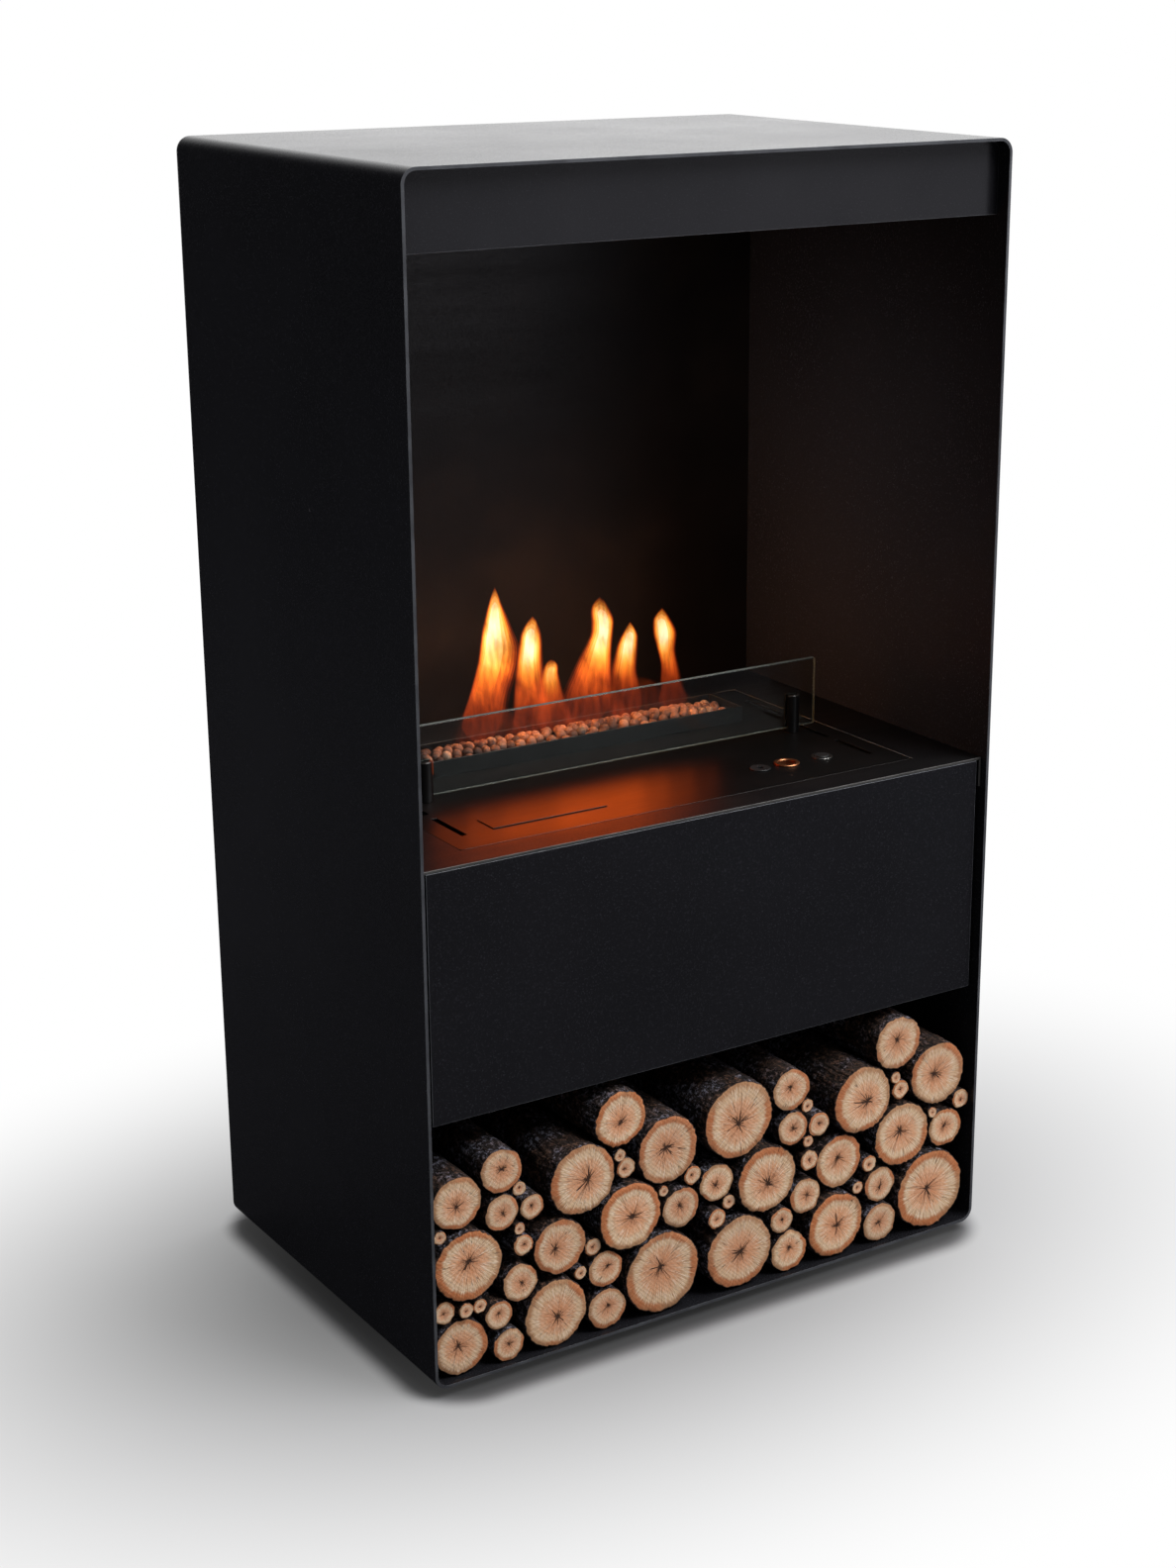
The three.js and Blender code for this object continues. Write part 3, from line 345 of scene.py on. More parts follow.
woodLook = {
    "heart": [(0, (160, 92, 58)), (0.08, (214, 140, 96)), (0.34, (226, 158, 114)), (0.52, (230, 172, 130)),
              (0.66, (226, 194, 158)), (0.78, (220, 188, 150)), (0.86, (204, 160, 118))],
    "fibre": (252, 236, 214), "streak": (160, 106, 72), "ring": (184, 122, 80), "own": (164, 118, 90),
    "sapwood": (168, 124, 88), "darkSapwood": (180, 102, 56), "paleSapwood": (216, 160, 112),
    "fuzz": (245, 222, 190), "crack": (36, 20, 14), "rim": (64, 46, 38)}


def sawnEnd():
    g, where = newFinish("sawnEnd")
    across = g.add("SeparateXYZ", {}, {0: g.attribute("grain", "Vector")})
    seed, up = across.also("Y"), across.also("Z")
    radius = (across * across + up * up) ** 0.5  # 0 at the pith, 1 at the bark
    safe = radius.larger(0.001)
    east, north = across / safe, up / safe

    def around(scale, offset, along=0.0, detail=2):  # noise that only changes with the direction from the pith
        spot = g.add("CombineXYZ", {}, {
            0: east * scale + offset, 1: seed * 17.3 + radius * along, 2: north * scale})
        return g.noise(spot, 1, detail, 0.55)

    own = g.add("TexWhiteNoise", {"noise_dimensions": "1D"}, {"W": seed})
    fibres = around(34, 0, 3.4, 3)
    wobble = radius * (1 + (around(1.3, 3) - 0.5) * 0.24 + (fibres - 0.5) * 0.4)
    tint = g.ramp(wobble, woodLook["heart"])
    tint = g.mix(g.step(fibres, 0.48, 0.66, 0, 0.75) * g.step(radius, 0.2, 0.5, 0.35, 1), tint, woodLook["fibre"])
    tint = g.mix(g.step(around(24, 50, 2.8, 3), 0.5, 0.7, 0, 0.7), tint, woodLook["streak"])
    spot = g.add("CombineXYZ", {}, {0: wobble * 26, 1: seed * 31, 2: around(1.1, 8) * 1.2})
    tint = g.mix(g.step(g.noise(spot, 1, 2, 0.5), 0.45, 0.7, 0, 0.3), tint, woodLook["ring"])
    side = g.step(around(0.6, 31, 0, 1), 0.42, 0.58)  # the dark sapwood lies on one side of each log
    band = g.mix(side, woodLook["sapwood"], woodLook["darkSapwood"])
    band = g.mix(g.step(fibres, 0.46, 0.7, 0, 0.55), band, woodLook["paleSapwood"])
    inner = 0.87 - side * 0.08 + (around(5, 12) - 0.5) * 0.06 + (fibres - 0.5) * 0.12
    tint = g.mix(g.step(radius - inner, -0.06, 0.06), tint, band)
    fuzz = g.noise(where, 1100, 3, 0.7)
    tint = g.mix(g.step(fuzz, 0.45, 0.8, 0, 0.2), tint, woodLook["fuzz"])
    tint = g.mix(own * 0.3, tint, woodLook["own"])
    reach = g.step(around(3.4, 71, 0, 1), 0.3, 0.72, 0.1, 0.46)  # how far out the cracks go
    narrow = (radius + 0.015) / (1.02 - radius / reach).larger(0.02)
    star = g.step(abs(around(3.3, 20, 0.4, 1) - 0.5) * narrow, 0.021, 0.006) * g.step(radius - reach, 0.0, -0.03)
    hair = g.step(abs(around(7.5, 90, 0.5, 1) - 0.5) * radius, 0.006, 0.001)
    hair = hair * g.step(around(4, 44, 3, 1), 0.45, 0.6)
    dark = (star + hair * 0.6 + g.step(radius, 0.06, 0.025)).smaller(1)
    tint = g.mix(dark * 0.92, tint, woodLook["crack"])
    tint = g.mix(g.step(radius, 0.972, 0.99), tint, woodLook["rim"])
    saw = g.add("TexWave", {"bands_direction": "DIAGONAL"}, {
        "Vector": where, "Scale": 130, "Distortion": 1.2, "Detail": 2})
    skin = g.bump(fibres + fuzz * 0.5, 0.0004, 0.5, g.bump(saw, 0.0003, 0.3))
    return g.finished(tint, 0.62 + fuzz * 0.2, 0.3, g.bump(1 - dark, 0.0016, 0.9, skin))


# the bark runs darker in its furrows and plate cracks and lighter on its ridges, partly its own colour and partly
# painted shade and highlight; its pale brown and bluish-grey flecks are painted highlights
barkLook = {"tones": [(0.2, (9, 7, 6)), (0.5, (22, 16, 14)), (0.8, (52, 40, 35))], "flake": (134, 98, 78),
            "bluishHighlight": (150, 150, 168), "plateSize": 95, "fibreSize": 270, "fleckPatchSize": 34, "relief": 0.0022,
            "roughness": 0.85, "sheen": 0.25}


def roughBark():
    g, where = newFinish("roughBark")
    long = g.stretch(where, (1, 0.22, 1))
    plates = g.add("TexVoronoi", {"feature": "DISTANCE_TO_EDGE"}, {
        "Vector": g.add("Mix", {"data_type": "VECTOR"}, {
            0: 0.03, 4: long, 5: g.noise(long, 60, 3, 0.5).also("Color")}, 1), "Scale": barkLook["plateSize"]})
    fibre = g.noise(g.stretch(where, (1, 0.8, 1)), barkLook["fibreSize"], 5, 0.8)
    fleckPatch = g.noise(where, barkLook["fleckPatchSize"], 4)
    # darker in the furrows and cracks, lighter on the ridges: partly painted shade and highlight
    height = g.attribute("relief") * 0.35 + g.step(plates, 0, 0.22) * 0.35 + fibre * 0.9
    base = g.ramp(height * 0.66, barkLook["tones"])
    # pale flecks on the raised fibres, brown and bluish grey: painted highlights
    flake = g.mix(g.step(fleckPatch, 0.42, 0.6), barkLook["flake"], barkLook["bluishHighlight"])
    base = g.mix(g.step(fibre, 0.5, 0.62, 0, 0.85) * g.step(fleckPatch, 0.3, 0.6, 0.5, 1), base, flake)
    return g.finished(base, barkLook["roughness"], barkLook["sheen"], g.bump(height, barkLook["relief"], 0.9))


# ---- flames

veilLook = {"glow": [(0, (255, 84, 40)), (0.2, (255, 104, 30)), (0.4, (255, 148, 42)), (0.6, (255, 197, 80)),
                     (0.8, (255, 225, 160)), (1, (255, 238, 243))], "power": 8.0, "lickSize": 130}


def flameVeil():
    g, where = newFinish("flameVeil")
    lick = g.noise(g.stretch(where, (1, 0, 0.24)), veilLook["lickSize"], 3, 0.55, 0.5)
    glow = g.ramp(g.attribute("warmth") + (lick - 0.5) * 0.25, veilLook["glow"])
    return g.close(g.add("BsdfPrincipled", {}, {
        "Base Color": (0, 0, 0, 1), "Roughness": 1.0, "Specular IOR Level": 0.0,
        "Emission Color": glow, "Emission Strength": veilLook["power"],
        "Alpha": g.attribute("veil") * g.step(lick, 0.28, 0.72, 0.3, 1.75)}))


finishes = {
    "powder_coat": powderCoat(),
    "fire_paint": blackCoat("firePaint"),
    "dark_steel": blackCoat("satinSteel"),
    "zinc_steel": barePlate("zincSteel"),
    "bare_steel": barePlate("bareSteel"),
    "brass": barePlate("brass"),
    "copper": barePlate("copper"),
    "glass": clearGlass(),
    "pebble_ceramic": pebbleCeramic(),
    "rubber": mouldedStuff("softRubber"),
    "black_plastic": mouldedStuff("blackPlastic"),
    "circuit_board": circuitBoard(),
    "firewood": sawnEnd(),
    "flame": flameVeil(),
}
barkFinish = roughBark()
print("finishes made")

# ---- CAD pieces that stay, and finished copies of those in sight

slotOf = {part["node"]: part["material_slot"] for part in frame["record"]["subparts"]}
bodyOf = {name: piece.parent.name.split(":")[1] for name, piece in cadNodes.items()}

for nodeName, piece in cadNodes.items():
    piece.data.materials.clear()
    piece.data.materials.append(finishes[slotOf[nodeName]])


def addPiece(name, mesh, body, stands=()):
    piece = addObject(name, mesh)
    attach(piece, body)
    if stands:
        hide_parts(*stands)
    return piece


def settled(piece):  # the evaluated object as a plain mesh
    seen = piece.evaluated_get(bpy.context.evaluated_depsgraph_get())
    mesh = bpy.data.meshes.new_from_object(seen)
    piece.modifiers.clear()
    return mesh


def smoothMesh(name, points, faces, sharp=None):  # with sharp edges where its faces meet at more than that
    mesh = bpy.data.meshes.new(name)
    mesh.from_pydata(points, [], faces)
    mesh.polygons.foreach_set("use_smooth", [True] * len(faces))
    if sharp is not None:
        mesh.set_sharp_from_angle(angle=math.radians(sharp))
    return mesh


def ring(sides, *corners):  # a face at each side; a corner is a row's first point and a step
    this = np.arange(sides)
    return np.stack([start + (this + step) % sides for start, step in corners], -1).tolist()


def tube(rows, n):  # the faces between rings of n points
    starts = range(0, (rows - 1) * n, n)
    return [face for at in starts for face in ring(n, (at, 0), (at, 1), (at + n, 1), (at + n, 0))]


def paint(mesh, name, values, domain="POINT"):  # a named number or vector for each point or face
    values = np.asarray(values, dtype=np.float32)
    kind, field = ("FLOAT_VECTOR", "vector") if values.ndim == 2 else ("FLOAT", "value")
    mesh.attributes.new(name, kind, domain).data.foreach_set(field, values.ravel())


edgeLook = {"segments": 2, "bevelFrom": 32, "sharpFrom": 28, "flatBelow": 0.7, "weld": 2e-6}
# the nodes that get soft edges, by how wide those are in metres
softEdges = {
    0.0009: ["casing"],
    0.0005: ["canopy_fascia", "front_panel", "niche_ceiling", "burner_deck", "foot_rail_left", "foot_rail_right",
             "burner_plate", "glass_pane", "glass_post_left", "glass_post_right"],
    0.0003: ["back_panel", "firebox_liner", "canopy_baffle", "foot_front_left", "foot_front_right",
             "foot_rear_left", "foot_rear_right", "burner_tray", "burner_housing", "fuel_tank", "cable_grommet"],
    0.00015: ["label_plate", "filler_neck", "power_button", "button_bezel", "pump_jack", "power_inlet"]}
# how light the bent edges and the cut faces of these sheets show: on the coats as a painted edge highlight with
# some rub wear, on the glass as its ground edge
cutEdges = {"casing": (1, 0.5), "burner_deck": (0.5, 0.3), "glass_pane": (1, 1), "niche_ceiling": (0.5, 0.3)}


def softened(nodeName, width):  # a copy with rounded edges, which are marked for their finish's painted edge highlight and wear, and for the glass's ground edge
    bm = bmesh.new()
    bm.from_mesh(cadNodes[nodeName].data)
    bmesh.ops.remove_doubles(bm, verts=bm.verts, dist=edgeLook["weld"])
    bmesh.ops.dissolve_limit(bm, angle_limit=math.radians(edgeLook["flatBelow"]), verts=bm.verts, edges=bm.edges)
    bm.verts.index_update()
    points = [tuple(v.co) for v in bm.verts]
    faces = [[v.index for v in f.verts] for f in bm.faces]
    bm.free()
    mesh = smoothMesh(nodeName, points, faces, edgeLook["sharpFrom"])
    for _ in range(2):  # the second slot tells the bevels from the faces
        mesh.materials.append(finishes[slotOf[nodeName]])
    draft = addObject(nodeName + "_draft", mesh)
    bevel = draft.modifiers.new("edges", "BEVEL")
    bevel.width, bevel.segments, bevel.material = width, edgeLook["segments"], 1
    bevel.limit_method, bevel.angle_limit = "ANGLE", math.radians(edgeLook["bevelFrom"])
    bevel.harden_normals = True
    done = settled(draft)
    bpy.data.objects.remove(draft)
    turned = np.zeros(len(done.polygons), dtype=np.int32)
    done.polygons.foreach_get("material_index", turned)
    shown = turned.astype(np.float32)
    if nodeName in cutEdges:
        along = np.array([p.normal.y for p in done.polygons])
        cut = abs(along) < 0.5 if nodeName == "glass_pane" else abs(along) > 0.5
        bent, bare = cutEdges[nodeName]
        shown = np.maximum(shown * bent, cut.astype(np.float32) * bare)
    paint(done, "edge", shown, "FACE")
    done.polygons.foreach_set("material_index", np.zeros_like(turned))
    done.materials.pop(index=1)
    addPiece(nodeName + "_finished", done, bodyOf[nodeName], [nodeName])


for width, nodeNames in softEdges.items():
    for nodeName in nodeNames:
        softened(nodeName, width)
print("edges softened")

# ---- firewood

logLook = {"fineness": (120, 12, 84), "slim": 0.998, "stagger": 0.003, "short": 0.004, "outOfRound": 0.038,
           "bark": 0.0022, "thinBark": 0.09, "bend": 0.012, "slant": 0.0084, "chip": 0.0016, "crown": 0.0006,
           "sharpFrom": 48}
stickLook = {"fineness": (44, 6, 22), "slim": 0.995, "stagger": 0.004, "front": -0.2155, "back": 0.11, "pieces": 4}


def lattice(rng, u, v, columns, rows):  # smooth noise that closes round the log
    grid = rng.random((rows + 2, columns))
    column, row = u * columns, v * rows
    left, low = np.floor(column).astype(int), np.floor(row).astype(int)
    fx, fy = column - left, row - low
    fx, fy = fx * fx * (3 - 2 * fx), fy * fy * (3 - 2 * fy)
    a, b = grid[low, left % columns], grid[low, (left + 1) % columns]
    c, d = grid[low + 1, left % columns], grid[low + 1, (left + 1) % columns]
    return (a * (1 - fx) + b * fx) * (1 - fy) + (c * (1 - fx) + d * fx) * fy


def logParts(seed, x, z, radius, front, back, fineness):
    rng = np.random.default_rng(seed)
    sides, rings, along = fineness
    turn = np.arange(sides) / sides
    angle = turn * 2 * np.pi
    shape = sum(rng.uniform(0.4, 1) / k ** 0.7 * np.cos(k * angle + rng.uniform(0, 6.3)) for k in (2, 3, 4, 5, 7))
    shape = (shape.max() - shape) / (shape.max() - shape.min())
    outline = radius * (1 - logLook["outOfRound"] * shape)
    depth = min(logLook["bark"], radius * logLook["thinBark"])
    v = np.linspace(0, 1, along + 1)[:, None] * np.ones(sides)
    u = turn * np.ones((along + 1, 1))
    around = max(10, int(radius * 900))
    ridge = 1 - abs(2 * lattice(rng, (u + 0.02 * lattice(rng, u, v, 6, 6)) % 1, v, around, 7) - 1)
    fine = lattice(rng, u, v, around * 3, 40)
    relief = np.clip(0.65 * ridge + 0.45 * fine, 0, 1)
    wall = outline - depth * (1 - relief)
    bend = logLook["bend"] * radius * np.sin(np.pi * v + rng.uniform(0, 6.3))
    sideX = x + (wall - abs(bend)) * np.cos(angle) + bend * 0.5
    sideZ = z + (wall - abs(bend)) * np.sin(angle)
    sideY = front + v * (back - front)
    pith = rng.uniform(0.03, 0.2) * radius
    pithTurn = rng.uniform(0, 6.3)
    centreX, centreZ = x + pith * math.cos(pithTurn), z + pith * math.sin(pithTurn)
    share = (np.arange(1, rings) / rings)[:, None] ** 0.85
    chip = logLook["chip"] * lattice(rng, turn, 0 * turn, 23, 1)
    own = seed % 97  # the finish tells the logs apart by it
    points, grain, height = [], [], []

    def slant(px, pz):  # how far the saw's cut leans there
        lean = (px - x) * math.cos(pithTurn + 1) + (pz - z) * math.sin(pithTurn + 1) + radius
        return logLook["slant"] * lean

    def keep(px, py, pz, gx, gy, gz, rise):
        points.append(np.stack([px, py, pz], -1).reshape(-1, 3))
        grain.append(np.stack([gx + 0 * px, gy + 0 * px, gz + 0 * px], -1).reshape(-1, 3))
        height.append(np.ravel(rise + 0 * px))

    def cap(edgeX, edgeZ, y, way, offset):
        inX = centreX + (edgeX - centreX) * share
        inZ = centreZ + (edgeZ - centreZ) * share
        inY = y + way * (slant(inX, inZ) + logLook["crown"] * (1 - share))
        keep(inX, inY, inZ, np.cos(angle) * share, own + offset, np.sin(angle) * share, 1)
        tip = np.array([centreX])
        keep(tip, 0 * tip + y + way * 2 * logLook["crown"], 0 * tip + centreZ, 0, own + offset, 0, 1)

    sideY[0] += slant(sideX[0], sideZ[0]) + chip
    sideY[-1] -= slant(sideX[-1], sideZ[-1]) + chip
    sideY[1:-1] = np.clip(sideY[1:-1], sideY[0] + 0.0008, sideY[-1] - 0.0008)
    half = np.where(np.arange(along + 1) < along // 2, 0, 0.5)[:, None]
    keep(sideX, sideY, sideZ, np.cos(angle), own + half, np.sin(angle), relief)
    cap(sideX[0], sideZ[0], front, 1, 0)
    cap(sideX[-1], sideZ[-1], back, -1, 0.5)

    faces, kinds = [], [1] * (along * sides)
    for row in range(0, along * sides, sides):
        faces += ring(sides, (row, 0), (row + sides, 0), (row + sides, 1), (row, 1))
    for start, edgeStart, way in (((along + 1) * sides, 0, 1),
                                  ((along + 1) * sides + (rings - 1) * sides + 1, along * sides, -1)):
        ringStart = [start + k * sides for k in range(rings - 1)] + [edgeStart]
        centre = start + (rings - 1) * sides
        caps = [[centre, *pair][::way] for pair in ring(sides, (ringStart[0], 0), (ringStart[0], 1))]
        for inner, outer in zip(ringStart[:-1], ringStart[1:]):
            caps += ring(sides, *((inner, 0), (outer, 0), (outer, 1), (inner, 1))[::way])
        faces += caps
        kinds += [0] * len(caps)
    return np.concatenate(points), faces, kinds, np.concatenate(grain), np.concatenate(height)


def gathered(parts):  # the points, faces and further lists of several shapes, one after the other
    points, faces, start = [], [], 0
    for shape in parts:
        points.append(shape[0])
        faces += [[i + start for i in face] for face in shape[1]]
        start += len(shape[0])
    return [np.concatenate(points).tolist(), faces] + [np.concatenate(rows) for rows in list(zip(*parts))[2:]]


def logPiece(name, logs, body, stands=()):
    points, faces, kinds, grain, height = gathered([logParts(*log) for log in logs])
    mesh = smoothMesh(name, points, faces, logLook["sharpFrom"])
    mesh.polygons.foreach_set("material_index", kinds.astype(np.int32))
    mesh.materials.append(finishes["firewood"])
    mesh.materials.append(barkFinish)
    paint(mesh, "grain", grain)
    paint(mesh, "relief", height)
    addPiece(name, mesh, body, stands)


bigLogs = []
for nodeName in sorted(name for name in cadNodes if name.startswith("firewood_log")):
    low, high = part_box(nodeName)
    radius = min(high.x - low.x, high.z - low.z) / 2
    x, z = (low.x + high.x) / 2, (low.z + high.z) / 2
    seed = 11 + 7 * len(bigLogs)
    recess = logLook["stagger"] * ((seed * 37) % 10) / 10
    bigLogs.append((x, z, radius))
    logPiece(nodeName + "_wood", [(seed, x, z, radius * logLook["slim"], low.y + recess,
                                   high.y - logLook["short"] + recess, logLook["fineness"])],
             bodyOf[nodeName], [nodeName])
print("big logs made:", len(bigLogs))

# small sticks between them: across, up from the niche's corner and radius, in millimetres
stickPattern = [
    (191, 19, 24), (75, 23, 23), (79, 200.5, 23), (171, 147.3, 22), (273, 107.5, 22), (194, 63, 20),
    (100.5, 83, 20), (74.5, 158.5, 19), (76, 60, 15.3), (204.5, 164, 14), (159.5, 71, 14), (105, 153.5, 13.4),
    (97.5, 116.5, 11.2), (175, 89, 11), (290, 133, 11), (88.5, 136, 10.3), (182.5, 176.5, 8.6), (171.5, 47.5, 8.2),
    (93.5, 175.5, 7.6), (257, 131, 7.5), (138, 109.5, 29.9)]
leftSticks = [(27, 27.5, 29.4), (28.7, 176, 27.6), (12.3, 71, 14.3), (7.1, 143, 10.5), (34, 68.5, 8.2),
              (53.8, 54.3, 7.8), (7, 97, 7.1)]
middleSticks = [(316.3, 121.5, 21.2), (314.2, 86, 11.2), (333, 98, 7.9)]
niche = {"left": -0.317, "right": 0.317, "floor": 0.013, "ceiling": 0.2742, "pitch": 331}
seating = {"gap": 0.0003, "tries": 160, "push": 0.7, "smallest": 0.005}


def nearest(x, z, r, placed):  # the least room round a stick, and which way that is
    found = [(z - niche["floor"] - r, 0, -1), (x - niche["left"] - r, -1, 0), (niche["right"] - x - r, 1, 0),
             (niche["ceiling"] - z - r, 0, 1)]
    for ox, oz, other in placed:
        away = math.hypot(ox - x, oz - z) or 1e-6
        found.append((away - r - other, (ox - x) / away, (oz - z) / away))
    return min(found)


def seatSticks():  # each stick moves until it touches its neighbours, and gets thinner if it has no room
    wanted = [(x + shift, z, r) for x, z, r in stickPattern for shift in (0, niche["pitch"])]
    wanted += leftSticks + middleSticks
    wanted.sort(key=lambda row: -row[2])
    placed = list(bigLogs)
    gap = seating["gap"]
    for x, z, r in wanted:
        x, z, r = niche["left"] + x / 1000, niche["floor"] + z / 1000, r / 1000
        for _ in range(seating["tries"]):
            room, dx, dz = nearest(x, z, r, placed)
            if room < gap:
                x += dx * (room - gap) * seating["push"]
                z += dz * (room - gap) * seating["push"]
            elif room > gap * 2:
                x += dx * (room - gap)
                z += dz * (room - gap)
        overlap = nearest(x, z, r, placed)[0] - gap
        if overlap < 0:
            r += overlap
        if r > seating["smallest"]:
            placed.append((x, z, r))
    return placed[len(bigLogs):]


sticks = seatSticks()
for part in range(stickLook["pieces"]):
    some = [(301 + 13 * i, x, z, r * stickLook["slim"],
             stickLook["front"] + stickLook["stagger"] * ((i * 29) % 10) / 10, stickLook["back"],
             stickLook["fineness"]) for i, (x, z, r) in enumerate(sticks) if i % stickLook["pieces"] == part]
    logPiece("small_sticks_%d" % (part + 1), some, "cabinet")
print("small sticks made:", len(sticks))

# ---- pebbles

pebbleLook = {"size": 0.0116, "spread": 0.0094, "lump": 0.05, "lumpSize": 170.0, "inset": 0.0052, "cells": (60, 8),
              "layers": [(0.0185, 0.0035, 5), (0.0125, 0.0055, 19)]}  # how far below the top, crown, seed


def newTree(name, **inputs):  # a Geometry Nodes tree with these inputs, each of the kind given
    tree = bpy.data.node_groups.new(name, "GeometryNodeTree")
    for label, kind in {"Geometry": "Geometry", **inputs}.items():
        tree.interface.new_socket(label, in_out="INPUT", socket_type="NodeSocket" + kind)
    tree.interface.new_socket("Geometry", in_out="OUTPUT", socket_type="NodeSocketGeometry")
    graph = Graph(tree)
    return tree, graph, graph.add("NodeGroupInput")


def pebbleTree():
    tree, g, given = newTree("pebbleHeap", Size="Float", Spread="Float", Seed="Int")
    size, spread, seed = given.also("Size"), given.also("Spread"), given.also("Seed")
    points = g.add("GeometryNodeDistributePointsOnFaces", {"distribute_method": "POISSON"}, {
        "Mesh": given, "Distance Min": spread, "Density Max": 40000.0, "Seed": seed})
    ball = g.add("GeometryNodeMeshIcoSphere", {}, {"Radius": 0.5, "Subdivisions": 2})
    turn = g.add("FunctionNodeRandomValue", {"data_type": "FLOAT_VECTOR"}, {
        "Min": (0, 0, 0), "Max": (6.28, 6.28, 6.28), "Seed": 3})
    shape = g.add("FunctionNodeRandomValue", {"data_type": "FLOAT_VECTOR"}, {
        "Min": (0.84, 0.84, 0.84), "Max": (1.02, 1.02, 1.02), "Seed": 8})
    scale = g.add("VectorMath", {"operation": "SCALE"}, {0: shape, "Scale": size})
    heap = g.add("GeometryNodeInstanceOnPoints", {}, {
        "Points": points, "Instance": ball, "Rotation": turn, "Scale": scale})
    shade = g.add("FunctionNodeRandomValue", {"data_type": "FLOAT"}, {2: 0.0, 3: 1.0, "Seed": 21}, 1)
    stored = g.add("GeometryNodeStoreNamedAttribute", {"data_type": "FLOAT", "domain": "INSTANCE"}, {
        "Geometry": heap, "Name": "tint", "Value": shade})
    real = g.add("GeometryNodeRealizeInstances", {}, {"Geometry": stored})
    lump = g.add("TexNoise", {}, {"Scale": pebbleLook["lumpSize"], "Detail": 1.0})
    normal = g.add("GeometryNodeInputNormal")
    push = g.add("VectorMath", {"operation": "SCALE"}, {
        0: normal, "Scale": (lump - 0.5) * size * pebbleLook["lump"]})
    moved = g.add("GeometryNodeSetPosition", {}, {"Geometry": real, "Offset": push})
    smooth = g.add("GeometryNodeSetShadeSmooth", {}, {"Geometry": moved})
    done = g.add("GeometryNodeSetMaterial", {}, {"Geometry": smooth, "Material": finishes["pebble_ceramic"]})
    g.add("NodeGroupOutput", {}, {0: done})
    return tree


def grown(name, base, tree, values):  # a tree's result as a plain mesh
    draft = addObject(name + "_draft", base)
    modifier = draft.modifiers.new("grow", "NODES")
    modifier.node_group = tree
    for item in tree.interface.items_tree:
        if item.item_type == "SOCKET" and item.in_out == "INPUT" and item.name in values:
            modifier[item.identifier] = values[item.name]
    mesh = settled(draft)
    bpy.data.objects.remove(draft)
    return mesh


def heapSurface(low, high, floor, rise):
    across, along = pebbleLook["cells"]
    points = [(low.x + (high.x - low.x) * u, low.y + (high.y - low.y) * v,
               floor + rise * (1 - (2 * v - 1) ** 2) * min(1, 9 * u, 9 * (1 - u)))
              for v in (j / along for j in range(along + 1)) for u in (i / across for i in range(across + 1))]
    faces = [(a, a + 1, a + across + 2, a + across + 1) for start in range(0, along * (across + 1), across + 1)
             for a in range(start, start + across)]
    mesh = bpy.data.meshes.new("heap")
    mesh.from_pydata(points, [], faces)
    return mesh


def makePebbles():
    low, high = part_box("pebble_bed")
    inset = Vector((pebbleLook["inset"], pebbleLook["inset"], 0))
    tree, heap = pebbleTree(), bmesh.new()
    for below, rise, seed in pebbleLook["layers"]:
        base = heapSurface(low + inset, high - inset, high.z - below, rise)
        values = {"Size": pebbleLook["size"], "Spread": pebbleLook["spread"], "Seed": seed}
        heap.from_mesh(grown("pebbles", base, tree, values))
    mesh = bpy.data.meshes.new("pebbles")
    heap.to_mesh(mesh)
    heap.free()
    mesh.materials.append(finishes["pebble_ceramic"])
    addPiece("pebble_heap", mesh, "burner", ["pebble_bed"])


makePebbles()
print("pebbles made")

# ---- screws

screwLook = {"radius": 0.0034, "rise": 0.0015, "socket": 0.0017, "sides": 24, "sharpFrom": 40, "edge": 0.012,
             "seed": 4}


def screwHead():  # a button head with a six-sided socket, standing on z = 0
    r, h, hexagon, n = screwLook["radius"], screwLook["rise"], screwLook["socket"], screwLook["sides"]
    turn = np.arange(n) / n * 2 * np.pi
    flat = hexagon / np.cos((turn % (np.pi / 3)) - np.pi / 6) * math.cos(math.pi / 6) * 1.1
    rings = [(r, 0 * turn), (r, 0 * turn + h * 0.35), (r * 0.86, 0 * turn + h * 0.82), (flat * 1.12, 0 * turn + h),
             (flat, 0 * turn + h * 0.94), (flat * 0.98, 0 * turn + h * 0.25)]
    points = [(float(x), float(y), float(z)) for radius, level in rings
              for x, y, z in zip(radius * np.cos(turn), radius * np.sin(turn), level)]
    points += [(0, 0, h * 0.2), (0, 0, 0)]
    last, tip = (len(rings) - 1) * n, len(rings) * n
    faces = tube(len(rings), n) + [[*pair, tip] for pair in ring(n, (last, 0), (last, 1))]
    faces += [[*pair, tip + 1] for pair in ring(n, (0, 1), (0, 0))]
    return bpy.data.objects.new("screwHead", smoothMesh("screwHead", points, faces, screwLook["sharpFrom"]))


